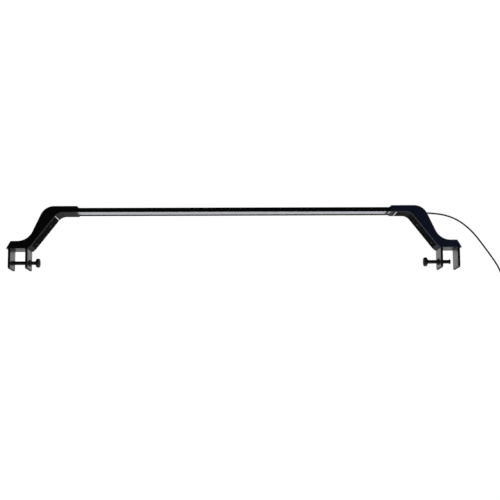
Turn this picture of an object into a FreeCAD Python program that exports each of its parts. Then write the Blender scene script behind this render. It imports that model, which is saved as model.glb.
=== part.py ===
import FreeCAD, Part
import math
import os

# Clamp-on LED aquarium light: a slim light bar held by two sliding arms, each with a
# glass clamp and a thumb screw. Millimetres. X runs along the bar, Z is up, and the origin
# is midway between the two clamp seats, level with the rims that they rest on.
# Arm pieces are drawn in a local frame: u = 0 at the clamp's seat, +u towards the lamp's
# middle. The left arm is moved into place and the right arm is its mirror image.

# ---- driving dimensions -------------------------------------------------------------
TOP_Z = 78.0              # top of the sleeves above the glass rim
LEG_DROP = 37.0           # clamp legs below the glass rim
JAW_GAP = 27.0            # between the two legs of a clamp
BAR_LENGTH = 652.0        # light bar with its end caps
BAR_SHIFT = -8.0          # the bar sits this far left: the right arm is drawn out further
BAR_WIDTH = 50.0

# ---- clearances ---------------------------------------------------------------------
SLIDE_GAP = 0.2           # bar in its sleeve
RUN_GAP = 0.05            # screw rod in its insert and in its pad
END_GAP = 1.5             # left end of the bar to the end of its sleeve, at rest
LED_GAP = 0.4             # lens to light chips
SEAM_GAP = 0.2            # between covers and the shell around them

# ---- arm shell ----------------------------------------------------------------------
SIDE_WALL = 2.3
SKIN = 2.5                # shell wall seen in the side outline
EDGE_ROUND = 2.2
ROOF_RISE = 14.0          # roof of the clamp above the glass rim
ROOF_LIP = 3.7            # drip edge beyond the outer leg
ROOF_BEVEL = 8.2          # how far the roof's end slopes back
SLOPE_OFFSET = 0.1        # inner leg to where the outer slope's line meets the roof
OUTER_ANGLE = 65.0        # outer slope from level
INNER_ANGLE = 52.0        # inner slope from level
HOLLOW_RADIUS = 30.0      # concave run from roof to slope
SHOULDER_RADIUS = 27.0
BEND_RADIUS = 18.5        # under the shoulder
FOOT_OFFSET = 1.6         # inner leg to the foot facet, at the rim level
FOOT_RUN = 5.0
FOOT_RISE = 4.4
SLEEVE_REACH = 37.1       # sleeve mouth beyond the knee
MOUTH_CHAMFER = 2.5
MOUTH_RAKE = 4.5          # the mouth's lower edge is set back
LIP = 1.4                 # sleeve wall under the bar
SLEEVE_TOP_WALL = 3.4     # sleeve wall over the bar
SLEEVE_SET_BACK = 13.9    # inner end of the sleeve, back from the knee

# ---- arm covers ---------------------------------------------------------------------
COVER = 1.4               # cover plate thickness
COVER_START = 1.0         # along the inner slope from the foot facet
SEAL_WIDTH = 2.0
LEDGE = 4.2               # the cover rests on a ledge this wide
RIGHT_COVER_END = 23.5    # the right cover runs on under the sleeve for this far
COVER_SCREW_INSETS = (9.0, 18.1)      # from the two ends of the slope
BOSS_RADIUS = 3.2

# ---- clamp --------------------------------------------------------------------------
LEG = 4.3                 # leg and top plate thickness
LEG_TIP_ROUND = 2.0
LEG_CORNER = 5.0
JAW_FILLET = 1.0
SCREW_RISE = 13.0         # screw axis above the legs' ends
INSERT_WALL = 1.05
INSERT_FLANGE_STEP = 1.4
INSERT_FLANGE = 3.2
INSERT_CHAMFER = 1.4
BRACKET_SCREW_Y = 15.0
BRACKET_SCREW = 9.0       # length

# ---- thumb screw --------------------------------------------------------------------
ROD_RADIUS = 3.5
KNOB_STANDOFF = 7.65      # knob to insert when closed
ROD_INTO_KNOB = 5.0
ROD_TIP_RADIUS = 2.0
ROD_TIP = 1.8
PAD_STEP = 0.7            # pad beyond the rod, all round
PAD = 3.0
PAD_CLOSED_GAP = 0.4      # pad to the outer leg when closed
RIGHT_BACKED_OFF = 9.0    # the right screw is drawn back at rest
KNOB_RADIUS = 8.3
KNOB_NECK_STEP = 0.9      # neck beyond the rod, all round
KNOB_FLARE = 2.0
KNOB_RIM = 4.8
KNOB_DOME = 1.4
KNOB_FLUTES = 12
FLUTE_RADIUS = 1.3

# ---- small fasteners ----------------------------------------------------------------
SCREW_RADIUS = 1.25
SCREW_HEAD_RADIUS = 2.5
HEAD_SET_BACK = 0.2       # a flat head is this much lower than the cover is thick
COVER_SCREW = 9.0
CAP_SCREW_MARGIN = 0.1    # pan head to the edges of the housing's wall
CAP_SCREW_HEAD = 1.0
CAP_SCREW = 8.0

# ---- light bar ----------------------------------------------------------------------
BAR_WALL = 3.6
BAR_TOP = 1.8
FIN_GROOVES = 13
FIN_GROOVE_WIDTH = 1.6
FIN_GROOVE = 0.6
SIDE_GROOVE = 0.6
SIDE_GROOVE_WIDTH = 1.2
SIDE_GROOVE_RISE = 1.8    # above the bar's lower edge
LENS_RECESS = 1.8
LENS = 1.6
LENS_TONGUE = 0.6         # lens edge held in the wall
LENS_LEFT_END = 37.0      # from the bar's left end
LENS_RIGHT_END = 37.5     # from the bar's right end
STOP_WIDTH = 3.4
TAPE = 0.2
BOARD = 1.0
BOARD_MARGIN = 1.2        # board edge to housing wall
BOARD_PAST_LENS = 22.0
LED_SIZE = (5.7, 3.0, 0.8)
LED_ROWS = 3
LED_COLUMNS = 24
LED_ROW_PITCH = 12.0
BLUE_EVERY = 2            # every second place of the middle row is blue
CAP = 2.5
CAP_PLUG = 1.5
CAP_SCREW_RISE = 4.9      # above the bar's lower edge

# ---- grip pad in the sleeve ---------------------------------------------------------
GRIP_SIZE = (14.0, 30.0, 2.0)
GRIP_SET_BACK = 25.0      # from the sleeve mouth
GRIP_GAP = 0.1

# ---- lead ---------------------------------------------------------------------------
LEAD_RADIUS = 1.5
LEAD_Y = 12.0
GLAND = 9.0
GLAND_MARGIN = 0.1        # gland flange above the bar's lower edge
GLAND_FLANGE_STEP = 0.6
GLAND_FLANGE = 1.5
GLAND_WALL = 0.6
LEAD_INSIDE = 8.0         # sheath inside the bar
WIRE_RADIUS = 0.6
WIRE_OFFSET = 0.75
WIRE_LENGTH = 8.0
LEAD_CLEARANCE = 1.1      # round the lead, where it slides through a piece
SPOUT_WALL = 1.3          # the right shoulder's outlet
SPOUT_REACH = 4.8
SPOUT_LENGTH = 11.0
GROMMET_WALL = 1.3
GROMMET = 7.0
GROMMET_FLANGE_STEP = 1.1
GROMMET_FLANGE = 1.0
GROMMET_FLARE = 0.9       # the bore widens this much at its outer end
GROMMET_FLARE_LENGTH = 4.0

# points of the hanging lead after the gland, as (x, z) from the gland's tip
LEAD_ROUTE = ((39.0, 0.0), (78.5, -8.8), (111.0, -31.6), (139.0, -67.6), (165.0, -105.6),
              (171.5, -135.6), (171.5, -161.6))
BEND_SHARE = 0.45
COIL_CENTRE = (192.6, -165.6)
COIL_OUTER = 23.0
COIL_INNER = 13.0
COIL_LAYERS = 4
TURN_GAP = 0.1            # between turns that lie side by side
COIL_CORNER = 2.5
TIE_WIDTH = 5.0
TIE = 0.7
TAIL_START = (171.5, -167.6)
TAIL_END = (172.5, -193.6)
PLUG_NECK = 9.0
PLUG_BODY = 20.0
PLUG_RADIUS = 4.9
PLUG_NECK_WALL = 0.9
BARREL = 9.5
BARREL_RADIUS = 2.75
BARREL_BORE = 1.95
TIP_LINER = 8.5
TIP_BORE = 1.05

# ---- values that follow -------------------------------------------------------------
V = FreeCAD.Vector
LEG_OUT = JAW_GAP / 2 + LEG
FOOT_START = LEG_OUT + FOOT_OFFSET
SLOPE_START = LEG_OUT + SLOPE_OFFSET
DEPTH = BAR_WIDTH + 2 * (SLIDE_GAP + SIDE_WALL)
BAR_HEIGHT = LENS_RECESS + LENS + LED_GAP + LED_SIZE[2] + BOARD + TAPE + BAR_TOP
BAR_TOP_Z = TOP_Z - SLEEVE_TOP_WALL - SLIDE_GAP
BAR_LOW_Z = BAR_TOP_Z - BAR_HEIGHT
BAR_X0 = BAR_SHIFT - BAR_LENGTH / 2
BAR_X1 = BAR_SHIFT + BAR_LENGTH / 2
SLEEVE_HALF = BAR_WIDTH / 2 + SLIDE_GAP
SLEEVE_LOW_Z = BAR_LOW_Z - SLIDE_GAP
SLEEVE_TOP_Z = BAR_TOP_Z + SLIDE_GAP
UNDER_Z = SLEEVE_LOW_Z - LIP
COVER_HALF = SLEEVE_HALF - SEAM_GAP
SCREW_Z = SCREW_RISE - LEG_DROP
ROD_LENGTH = (JAW_GAP - PAD_CLOSED_GAP - PAD - RUN_GAP) + LEG + INSERT_FLANGE + KNOB_STANDOFF
INSERT_RADIUS = ROD_RADIUS + RUN_GAP + INSERT_WALL
INSERT_FLANGE_RADIUS = INSERT_RADIUS + INSERT_FLANGE_STEP
PAD_RADIUS = ROD_RADIUS + PAD_STEP
KNOB_NECK_RADIUS = ROD_RADIUS + KNOB_NECK_STEP
SCREW_HEAD = COVER - HEAD_SET_BACK
CAP_SCREW_HEAD_RADIUS = BAR_WALL / 2 - CAP_SCREW_MARGIN
CAP_SCREW_RADIUS = BAR_WALL / 4
LENS_X0 = BAR_X0 + LENS_LEFT_END
LENS_X1 = BAR_X1 - LENS_RIGHT_END
LENS_LOW_Z = BAR_LOW_Z + LENS_RECESS
LENS_HALF = BAR_WIDTH / 2 - BAR_WALL + LENS_TONGUE
BAY_HALF = BAR_WIDTH / 2 - BAR_WALL
CEILING_Z = BAR_TOP_Z - BAR_TOP
BOARD_LOW_Z = CEILING_Z - TAPE - BOARD
GLAND_TIP_RADIUS = LEAD_RADIUS + GLAND_WALL
GLAND_FLANGE_RADIUS = GLAND_TIP_RADIUS + GLAND_FLANGE_STEP
LEAD_Z = BAR_LOW_Z + GLAND_FLANGE_RADIUS + GLAND_MARGIN
LEAD_X = BAR_X1 + GLAND
LEAD_NOTCH = LEAD_RADIUS + LEAD_CLEARANCE
GROMMET_BORE = LEAD_RADIUS + LEAD_CLEARANCE
GROMMET_RADIUS = GROMMET_BORE + GROMMET_WALL
GROMMET_FLANGE_RADIUS = GROMMET_RADIUS + GROMMET_FLANGE_STEP
SPOUT_RADIUS = GROMMET_RADIUS + SPOUT_WALL
LAYER_PITCH = 2 * LEAD_RADIUS + TURN_GAP
PLUG_NECK_RADIUS = LEAD_RADIUS + PLUG_NECK_WALL
COIL_X = LEAD_X + COIL_CENTRE[0]
COIL_Z = LEAD_Z + COIL_CENTRE[1]
COIL_Y = LEAD_Y + LAYER_PITCH * (COIL_LAYERS - 1) / 2
TAIL_Y = LEAD_Y + LAYER_PITCH * (COIL_LAYERS - 1)


def box(x0, x1, y0, y1, z0, z1):
    """A block between two corners."""
    return Part.makeBox(x1 - x0, y1 - y0, z1 - z0, V(x0, y0, z0))


def rod_x(x0, x1, y, z, radius, end_radius=None):
    """A round bar or cone along X."""
    if end_radius is None:
        return Part.makeCylinder(radius, x1 - x0, V(x0, y, z), V(1, 0, 0))
    return Part.makeCone(radius, end_radius, x1 - x0, V(x0, y, z), V(1, 0, 0))


def outline(corners):
    """A closed wire in the XZ plane from (x, z, radius) corners."""
    places = [V(x, 0, z) for x, z, _ in corners]
    starts, ends, arcs = [], [], []
    for i, (_, _, radius) in enumerate(corners):
        corner = places[i]
        back = (places[i - 1] - corner).normalize()
        ahead = (places[(i + 1) % len(places)] - corner).normalize()
        if radius == 0:
            starts.append(corner)
            ends.append(corner)
            arcs.append(None)
            continue
        half = back.getAngle(ahead) / 2
        inward = (back + ahead).normalize()
        centre = corner + inward * (radius / math.sin(half))
        starts.append(corner + back * (radius / math.tan(half)))
        ends.append(corner + ahead * (radius / math.tan(half)))
        arcs.append(centre - inward * radius)
    edges = []
    for i, middle in enumerate(arcs):
        if middle is not None:
            edges.append(Part.Arc(starts[i], middle, ends[i]).toShape())
        following = starts[(i + 1) % len(starts)]
        if ends[i].distanceToPoint(following) > 1e-6:
            edges.append(Part.LineSegment(ends[i], following).toShape())
    return Part.Wire(edges)


def prism(wire, width):
    """A wire in the XZ plane made a solid, centred on Y = 0."""
    moved = wire.copy()
    moved.translate(V(0, -width / 2, 0))
    return Part.Face(moved).extrude(V(0, width, 0))


def save(name, shape):
    """Write one node's STEP file."""
    shape.exportStep("parts/" + name + ".step")


def on_side(shape, side):
    """Move a piece drawn in the arm's frame to the left or right end of the lamp."""
    if side == "left":
        placed = shape.copy()
        placed.translate(V(-SEAT_X, 0, 0))
        return placed
    placed = shape.mirror(V(0, 0, 0), V(1, 0, 0))
    placed.translate(V(SEAT_X, 0, 0))
    return placed


# ---- the inner face of an arm, as a path: slope, bend, underside of the sleeve ----------
SLOPE = V(math.cos(math.radians(INNER_ANGLE)), 0, math.sin(math.radians(INNER_ANGLE)))
INWARD = V(-SLOPE.z, 0, SLOPE.x)
FACET_TOP = V(FOOT_START + FOOT_RUN, 0, FOOT_RISE)
KNEE = FACET_TOP + SLOPE * ((UNDER_Z - FOOT_RISE) / SLOPE.z)
KNEE_CUT = BEND_RADIUS * math.tan(math.radians(INNER_ANGLE / 2))
SLOPE_LENGTH = (KNEE - FACET_TOP).Length - KNEE_CUT
BEND_LENGTH = BEND_RADIUS * math.radians(INNER_ANGLE)
BEND_CENTRE = V(KNEE.x + KNEE_CUT, 0, UNDER_Z - BEND_RADIUS)
MOUTH_REACH = KNEE.x + SLEEVE_REACH
SLEEVE_STOP = KNEE.x - SLEEVE_SET_BACK
GRIP_START = MOUTH_REACH - GRIP_SET_BACK
SEAT_X = BAR_LENGTH / 2 - BAR_SHIFT + END_GAP + SLEEVE_STOP
SCREW_STATIONS = (COVER_SCREW_INSETS[0], SLOPE_LENGTH - COVER_SCREW_INSETS[1])


def inner_point(s, inset):
    """The point at distance s along the inner face, sunk into the arm by inset."""
    if s <= SLOPE_LENGTH:
        return FACET_TOP + SLOPE * s + INWARD * inset
    if s <= SLOPE_LENGTH + BEND_LENGTH:
        turned = math.radians(INNER_ANGLE) - (s - SLOPE_LENGTH) / BEND_RADIUS
        radius = BEND_RADIUS + inset
        return BEND_CENTRE + V(-math.sin(turned) * radius, 0, math.cos(turned) * radius)
    run = s - SLOPE_LENGTH - BEND_LENGTH
    return V(BEND_CENTRE.x + run, 0, UNDER_Z + inset)


def inner_strip(s0, s1, inset0, inset1, width):
    """A plate that follows the inner face from s0 to s1, between two depths."""
    bend = (SLOPE_LENGTH, SLOPE_LENGTH + BEND_LENGTH)
    stops = [s0] + [s for s in bend if s0 < s < s1] + [s1]
    edges = []
    for a, b in zip(stops, stops[1:]):
        for inset in (inset0, inset1):
            first, last = inner_point(a, inset), inner_point(b, inset)
            if a >= bend[0] and b <= bend[1]:
                edges.append(Part.Arc(first, inner_point((a + b) / 2, inset), last).toShape())
            else:
                edges.append(Part.LineSegment(first, last).toShape())
    for s in (s0, s1):
        edges.append(Part.LineSegment(inner_point(s, inset0), inner_point(s, inset1)).toShape())
    return prism(Part.Wire(Part.__sortEdges__(edges)), width)


def cover_end(side):
    """Where the inner cover stops, as a distance along the inner face."""
    if side == "left":
        return SLOPE_LENGTH
    return SLOPE_LENGTH + BEND_LENGTH + RIGHT_COVER_END - KNEE_CUT


def arm_outline():
    """The side outline of an arm shell."""
    rise = TOP_Z - ROOF_RISE
    shoulder = SLOPE_START + rise / math.tan(math.radians(OUTER_ANGLE))
    tip = -LEG_OUT - ROOF_LIP
    return outline((
        (tip, 0, 0),
        (tip + ROOF_BEVEL, ROOF_RISE, 0),
        (SLOPE_START, ROOF_RISE, HOLLOW_RADIUS),
        (shoulder, TOP_Z, SHOULDER_RADIUS),
        (MOUTH_REACH - MOUTH_CHAMFER, TOP_Z, 0),
        (MOUTH_REACH, TOP_Z - MOUTH_CHAMFER, 0),
        (MOUTH_REACH - MOUTH_RAKE, UNDER_Z, 0),
        (KNEE.x, KNEE.z, BEND_RADIUS),
        (FACET_TOP.x, FACET_TOP.z, 0),
        (FOOT_START, 0, 0)))


def rounded_arm(profile):
    """The outer form of an arm, with its long edges rounded but not its mouth or its foot."""
    solid = prism(profile, DEPTH)
    chosen = []
    for edge in solid.Edges:
        middle = edge.valueAt((edge.FirstParameter + edge.LastParameter) / 2)
        on_mouth = middle.x > MOUTH_REACH - MOUTH_RAKE and middle.z < TOP_Z - MOUTH_CHAMFER
        if abs(abs(middle.y) - DEPTH / 2) < 1e-6 and middle.z > 1e-6 and not on_mouth:
            chosen.append(edge)
    return solid.makeFillet(EDGE_ROUND, chosen)


def cover_screw_line(station):
    """The start on the inner face, and the inward direction, of one cover screw."""
    return inner_point(station, 0), INWARD


def arm_shell(side):
    """A hollow arm: clamp roof, sloping neck, shoulder and sleeve for the bar."""
    profile = arm_outline()
    inside = profile.makeOffset2D(-SKIN, 2)
    hollow = prism(inside, 2 * SLEEVE_HALF)
    knee_limit = box(-DEPTH, KNEE.x, -DEPTH, DEPTH, -DEPTH, 2 * TOP_Z)
    shell = rounded_arm(profile).cut(hollow.common(knee_limit))

    if side == "right":
        outlet = spout_end()
        shell = shell.fuse(rod_x(outlet, outlet + SPOUT_LENGTH, LEAD_Y, LEAD_Z, SPOUT_RADIUS))

    room = profile.makeOffset2D(-SKIN / 2, 2)
    bosses = []
    for y in (-BRACKET_SCREW_Y, BRACKET_SCREW_Y):
        bosses.append(Part.makeCylinder(BOSS_RADIUS, ROOF_RISE - LEG, V(0, y, LEG)))
    for station in SCREW_STATIONS:
        start, way = cover_screw_line(station)
        bosses.append(Part.makeCylinder(BOSS_RADIUS, DEPTH, start + way * COVER, way))
    shell = shell.fuse([boss.common(prism(room, DEPTH - SIDE_WALL)) for boss in bosses])

    end = cover_end(side) + SEAL_WIDTH + SEAM_GAP
    cuts = [
        box(SLEEVE_STOP, 2 * MOUTH_REACH, -SLEEVE_HALF, SLEEVE_HALF, SLEEVE_LOW_Z, SLEEVE_TOP_Z),
        box(-LEG_OUT, LEG_OUT, -SLEEVE_HALF, SLEEVE_HALF, -LEG, LEG),
        inner_strip(COVER_START - SEAM_GAP, end, -COVER, COVER, 2 * SLEEVE_HALF),
        inner_strip(COVER_START + LEDGE, SLOPE_LENGTH - LEDGE, COVER, SKIN,
                    2 * (SLEEVE_HALF - LEDGE)).cut(Part.makeCompound(bosses)),
        grip_block(GRIP_SIZE[2] + SLIDE_GAP - GRIP_GAP, SLEEVE_TOP_Z - SLIDE_GAP + GRIP_GAP)]
    for y in (-BRACKET_SCREW_Y, BRACKET_SCREW_Y):
        cuts.append(Part.makeCylinder(SCREW_RADIUS, BRACKET_SCREW, V(0, y, 0)))
    for station in SCREW_STATIONS:
        start, way = cover_screw_line(station)
        cuts.append(Part.makeCylinder(SCREW_RADIUS, COVER_SCREW, start, way))
    if side == "right":
        cuts.append(rod_x(0, SLEEVE_STOP, LEAD_Y, LEAD_Z, GROMMET_RADIUS))
    return shell.cut(cuts).removeSplitter()


def grip_block(thickness, low_z):
    """The block of the rubber grip in the sleeve's ceiling."""
    length, width, _ = GRIP_SIZE
    return box(GRIP_START, GRIP_START + length, -width / 2, width / 2, low_z, low_z + thickness)


def arm_cover(side):
    """The plate that closes the arm's inner face, with countersunk holes."""
    plate = inner_strip(COVER_START, cover_end(side), 0, COVER, 2 * COVER_HALF)
    for station in SCREW_STATIONS:
        plate = plate.cut(countersunk_screw(*cover_screw_line(station), COVER_SCREW))
    return plate


def countersunk_screw(start, way, length):
    """A screw whose flat head is flush with start and whose shank runs along way."""
    head = Part.makeCone(SCREW_HEAD_RADIUS, SCREW_RADIUS, SCREW_HEAD, start, way)
    shank = Part.makeCylinder(SCREW_RADIUS, length - SCREW_HEAD, start + way * SCREW_HEAD, way)
    return head.fuse(shank).removeSplitter()


def clamp_bracket():
    """The upside-down U that drops over the glass rim."""
    gap = JAW_GAP / 2
    wire = outline((
        (-LEG_OUT, LEG, 0), (-LEG_OUT, -LEG_DROP, LEG_TIP_ROUND),
        (-gap, -LEG_DROP, LEG_TIP_ROUND), (-gap, 0, JAW_FILLET),
        (gap, 0, JAW_FILLET), (gap, -LEG_DROP, LEG_TIP_ROUND),
        (LEG_OUT, -LEG_DROP, LEG_TIP_ROUND), (LEG_OUT, LEG, 0)))
    bracket = prism(wire, 2 * COVER_HALF)
    end_view = outline((
        (-COVER_HALF, LEG, 0), (-COVER_HALF, -LEG_DROP, LEG_CORNER),
        (COVER_HALF, -LEG_DROP, LEG_CORNER), (COVER_HALF, LEG, 0)))
    blank = prism(end_view, 4 * JAW_GAP)
    blank.rotate(V(0, 0, 0), V(0, 0, 1), 90)
    hole = rod_x(gap, LEG_OUT, 0, SCREW_Z, INSERT_RADIUS)
    screws = bracket_screws()
    return bracket.common(blank).cut([hole] + screws.Solids)


def bracket_screws():
    """The two screws that hold the bracket up in the roof."""
    ways = [(V(0, y, 0), V(0, 0, 1)) for y in (-BRACKET_SCREW_Y, BRACKET_SCREW_Y)]
    return Part.makeCompound([countersunk_screw(*way, BRACKET_SCREW) for way in ways])


def cover_screws():
    """The two screws that hold the inner cover."""
    return Part.makeCompound([countersunk_screw(*cover_screw_line(station), COVER_SCREW)
                              for station in SCREW_STATIONS])


def thread_insert():
    """The threaded insert in the inner leg."""
    gap = JAW_GAP / 2
    body = rod_x(gap, LEG_OUT, 0, SCREW_Z, INSERT_RADIUS)
    flange = rod_x(LEG_OUT, LEG_OUT + INSERT_FLANGE - INSERT_CHAMFER, 0, SCREW_Z,
                   INSERT_FLANGE_RADIUS)
    nose = rod_x(LEG_OUT + INSERT_FLANGE - INSERT_CHAMFER, LEG_OUT + INSERT_FLANGE, 0, SCREW_Z,
                 INSERT_FLANGE_RADIUS, INSERT_FLANGE_RADIUS - INSERT_CHAMFER)
    bore = rod_x(0, 2 * LEG_OUT, 0, SCREW_Z, ROD_RADIUS + RUN_GAP)
    return body.fuse([flange, nose]).cut(bore).removeSplitter()


def pad_face(backed_off):
    """Where the pad's pressing face stands."""
    return PAD_CLOSED_GAP - JAW_GAP / 2 + backed_off


def screw_pad(backed_off):
    """The pressure pad on the end of the screw rod."""
    face = pad_face(backed_off)
    disc = rod_x(face, face + PAD, 0, SCREW_Z, PAD_RADIUS)
    socket_depth = ROD_TIP + RUN_GAP
    socket = rod_x(face + PAD - socket_depth, face + PAD, 0, SCREW_Z, ROD_TIP_RADIUS + RUN_GAP)
    return disc.cut(socket)


def screw_rod(backed_off):
    """The threaded rod, at its outside diameter, with the tip that turns in the pad."""
    start = pad_face(backed_off) + PAD + RUN_GAP
    tip = rod_x(start - ROD_TIP, start, 0, SCREW_Z, ROD_TIP_RADIUS)
    rod = rod_x(start, start + ROD_LENGTH + ROD_INTO_KNOB, 0, SCREW_Z, ROD_RADIUS)
    return tip.fuse(rod).removeSplitter()


def screw_knob(backed_off):
    """The fluted thumb knob with its flared neck."""
    start = pad_face(backed_off) + PAD + RUN_GAP + ROD_LENGTH
    flare = rod_x(start, start + KNOB_FLARE, 0, SCREW_Z, KNOB_NECK_RADIUS, KNOB_RADIUS)
    rim_end = start + KNOB_FLARE + KNOB_RIM
    rim = rod_x(start + KNOB_FLARE, rim_end, 0, SCREW_Z, KNOB_RADIUS)
    dome = rod_x(rim_end, rim_end + KNOB_DOME, 0, SCREW_Z, KNOB_RADIUS,
                 KNOB_RADIUS - KNOB_DOME)
    knob = flare.fuse([rim, dome])
    cuts = [rod_x(start, start + ROD_INTO_KNOB, 0, SCREW_Z, ROD_RADIUS)]
    for i in range(KNOB_FLUTES):
        angle = 2 * math.pi * i / KNOB_FLUTES
        y = (KNOB_RADIUS + FLUTE_RADIUS / 2) * math.cos(angle)
        z = (KNOB_RADIUS + FLUTE_RADIUS / 2) * math.sin(angle)
        cuts.append(rod_x(start, rim_end + KNOB_DOME, y, SCREW_Z + z, FLUTE_RADIUS))
    return knob.cut(cuts).removeSplitter()


def spout_end():
    """Where the right shoulder's level outlet for the lead ends."""
    slope_run = (TOP_Z - ROOF_RISE) / math.tan(math.radians(OUTER_ANGLE))
    cut = SHOULDER_RADIUS * math.tan(math.radians(OUTER_ANGLE / 2))
    rise = LEAD_Z - TOP_Z + SHOULDER_RADIUS
    wall = SLOPE_START + slope_run + cut - math.sqrt(SHOULDER_RADIUS ** 2 - rise ** 2)
    return wall - SPOUT_REACH


def lead_grommet():
    """The flanged bush for the lead in the right shoulder's outlet, flared outside."""
    end = spout_end()
    bush = rod_x(end, end + GROMMET, LEAD_Y, LEAD_Z, GROMMET_RADIUS)
    flange = rod_x(end - GROMMET_FLANGE, end, LEAD_Y, LEAD_Z, GROMMET_FLANGE_RADIUS)
    start = end - GROMMET_FLANGE
    bore = rod_x(start, end + GROMMET, LEAD_Y, LEAD_Z, GROMMET_BORE)
    flare = rod_x(start, start + GROMMET_FLARE_LENGTH, LEAD_Y, LEAD_Z,
                  GROMMET_BORE + GROMMET_FLARE, GROMMET_BORE)
    return bush.fuse(flange).cut([bore, flare]).removeSplitter()


def bar_housing():
    """The aluminium extrusion: a shallow channel, open underneath."""
    half = BAR_WIDTH / 2
    x0, x1 = BAR_X0 + CAP, BAR_X1 - CAP
    solid = box(x0, x1, -half, half, BAR_LOW_Z, BAR_TOP_Z)
    cuts = [box(x0, x1, -BAY_HALF, BAY_HALF, BAR_LOW_Z, CEILING_Z),
            box(x0, x1, -LENS_HALF, LENS_HALF, LENS_LOW_Z, LENS_LOW_Z + LENS)]
    groove_z = BAR_LOW_Z + SIDE_GROOVE_RISE
    for y in (-half, half - SIDE_GROOVE):
        cuts.append(box(x0, x1, y, y + SIDE_GROOVE, groove_z, groove_z + SIDE_GROOVE_WIDTH))
    pitch = BAR_WIDTH / (FIN_GROOVES + 1)
    for i in range(FIN_GROOVES):
        y = -half + pitch * (i + 1) - FIN_GROOVE_WIDTH / 2
        cuts.append(box(x0, x1, y, y + FIN_GROOVE_WIDTH, BAR_TOP_Z - FIN_GROOVE, BAR_TOP_Z))
    return solid.cut(cuts + [screw.common(solid) for screw in cap_screws("left").Solids]
                     + [screw.common(solid) for screw in cap_screws("right").Solids])


def cap_screws(side):
    """Two pan-head screws through an end cap into the housing's walls."""
    screws = []
    for y in (-BAR_WIDTH / 2 + BAR_WALL / 2, BAR_WIDTH / 2 - BAR_WALL / 2):
        z = BAR_LOW_Z + CAP_SCREW_RISE
        if side == "left":
            head = rod_x(BAR_X0, BAR_X0 + CAP_SCREW_HEAD, y, z, CAP_SCREW_HEAD_RADIUS)
            shank = rod_x(BAR_X0 + CAP_SCREW_HEAD, BAR_X0 + CAP_SCREW, y, z, CAP_SCREW_RADIUS)
        else:
            head = rod_x(BAR_X1 - CAP_SCREW_HEAD, BAR_X1, y, z, CAP_SCREW_HEAD_RADIUS)
            shank = rod_x(BAR_X1 - CAP_SCREW, BAR_X1 - CAP_SCREW_HEAD, y, z, CAP_SCREW_RADIUS)
        screws.append(head.fuse(shank).removeSplitter())
    return Part.makeCompound(screws)


def end_cap(side):
    """A cap that closes one end of the housing, with a plug inside the channel."""
    half = BAR_WIDTH / 2
    plug_low, plug_top = LENS_LOW_Z + LENS, CEILING_Z
    if side == "left":
        plate = box(BAR_X0, BAR_X0 + CAP, -half, half, BAR_LOW_Z, BAR_TOP_Z)
        plug = box(BAR_X0 + CAP, BAR_X0 + CAP + CAP_PLUG, -BAY_HALF, BAY_HALF, plug_low, plug_top)
        return plate.fuse(plug).removeSplitter().cut(cap_screws(side).Solids)
    plate = box(BAR_X1 - CAP, BAR_X1, -half, half, BAR_LOW_Z, BAR_TOP_Z)
    plug = box(BAR_X1 - CAP - CAP_PLUG, BAR_X1 - CAP, -BAY_HALF, BAY_HALF, plug_low, plug_top)
    hole = rod_x(BAR_X1 - LEAD_INSIDE, BAR_X1, LEAD_Y, LEAD_Z, LEAD_RADIUS)
    return plate.fuse(plug).removeSplitter().cut(cap_screws(side).Solids + [hole])


def slot_plate(x0, x1):
    """A plate that slides in the lens slot."""
    return box(x0, x1, -LENS_HALF, LENS_HALF, LENS_LOW_Z, LENS_LOW_Z + LENS)


def lens_stop(x0):
    """The bezel that closes one end of the lens, flush with the housing's lower edge."""
    rim = box(x0, x0 + STOP_WIDTH, -BAY_HALF, BAY_HALF, BAR_LOW_Z, LENS_LOW_Z + LENS)
    return rim.fuse(slot_plate(x0, x0 + STOP_WIDTH)).removeSplitter()


def led_places():
    """Centres of the light chips, and whether each is blue."""
    pitch = (LENS_X1 - LENS_X0) / LED_COLUMNS
    for column in range(LED_COLUMNS):
        for row in range(LED_ROWS):
            x = LENS_X0 + pitch * (column + 0.5)
            y = LED_ROW_PITCH * (row - (LED_ROWS - 1) / 2)
            blue = row == LED_ROWS // 2 and column % BLUE_EVERY == 0
            yield x, y, blue


def leds(blue):
    """The chips of one colour, as separate solids."""
    length, width, height = LED_SIZE
    chips = [box(x - length / 2, x + length / 2, y - width / 2, y + width / 2,
                 BOARD_LOW_Z - height, BOARD_LOW_Z)
             for x, y, is_blue in led_places() if is_blue == blue]
    return Part.makeCompound(chips)


def lead_gland():
    """The tapered strain relief on the right end cap."""
    flange = rod_x(BAR_X1, BAR_X1 + GLAND_FLANGE, LEAD_Y, LEAD_Z, GLAND_FLANGE_RADIUS)
    taper = rod_x(BAR_X1 + GLAND_FLANGE, BAR_X1 + GLAND, LEAD_Y, LEAD_Z,
                  GLAND_FLANGE_RADIUS, GLAND_TIP_RADIUS)
    bore = rod_x(BAR_X1, BAR_X1 + GLAND, LEAD_Y, LEAD_Z, LEAD_RADIUS)
    return flange.fuse(taper).cut(bore).removeSplitter()


def lead_inner():
    """The sheathed lead inside the gland and the bar."""
    return rod_x(BAR_X1 - LEAD_INSIDE, BAR_X1 + GLAND, LEAD_Y, LEAD_Z, LEAD_RADIUS)


def wire(offset):
    """One of the two wires from the sheath to the board's pads."""
    x1 = BAR_X1 - LEAD_INSIDE
    return rod_x(x1 - WIRE_LENGTH, x1, LEAD_Y + offset, LEAD_Z, WIRE_RADIUS)


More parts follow.
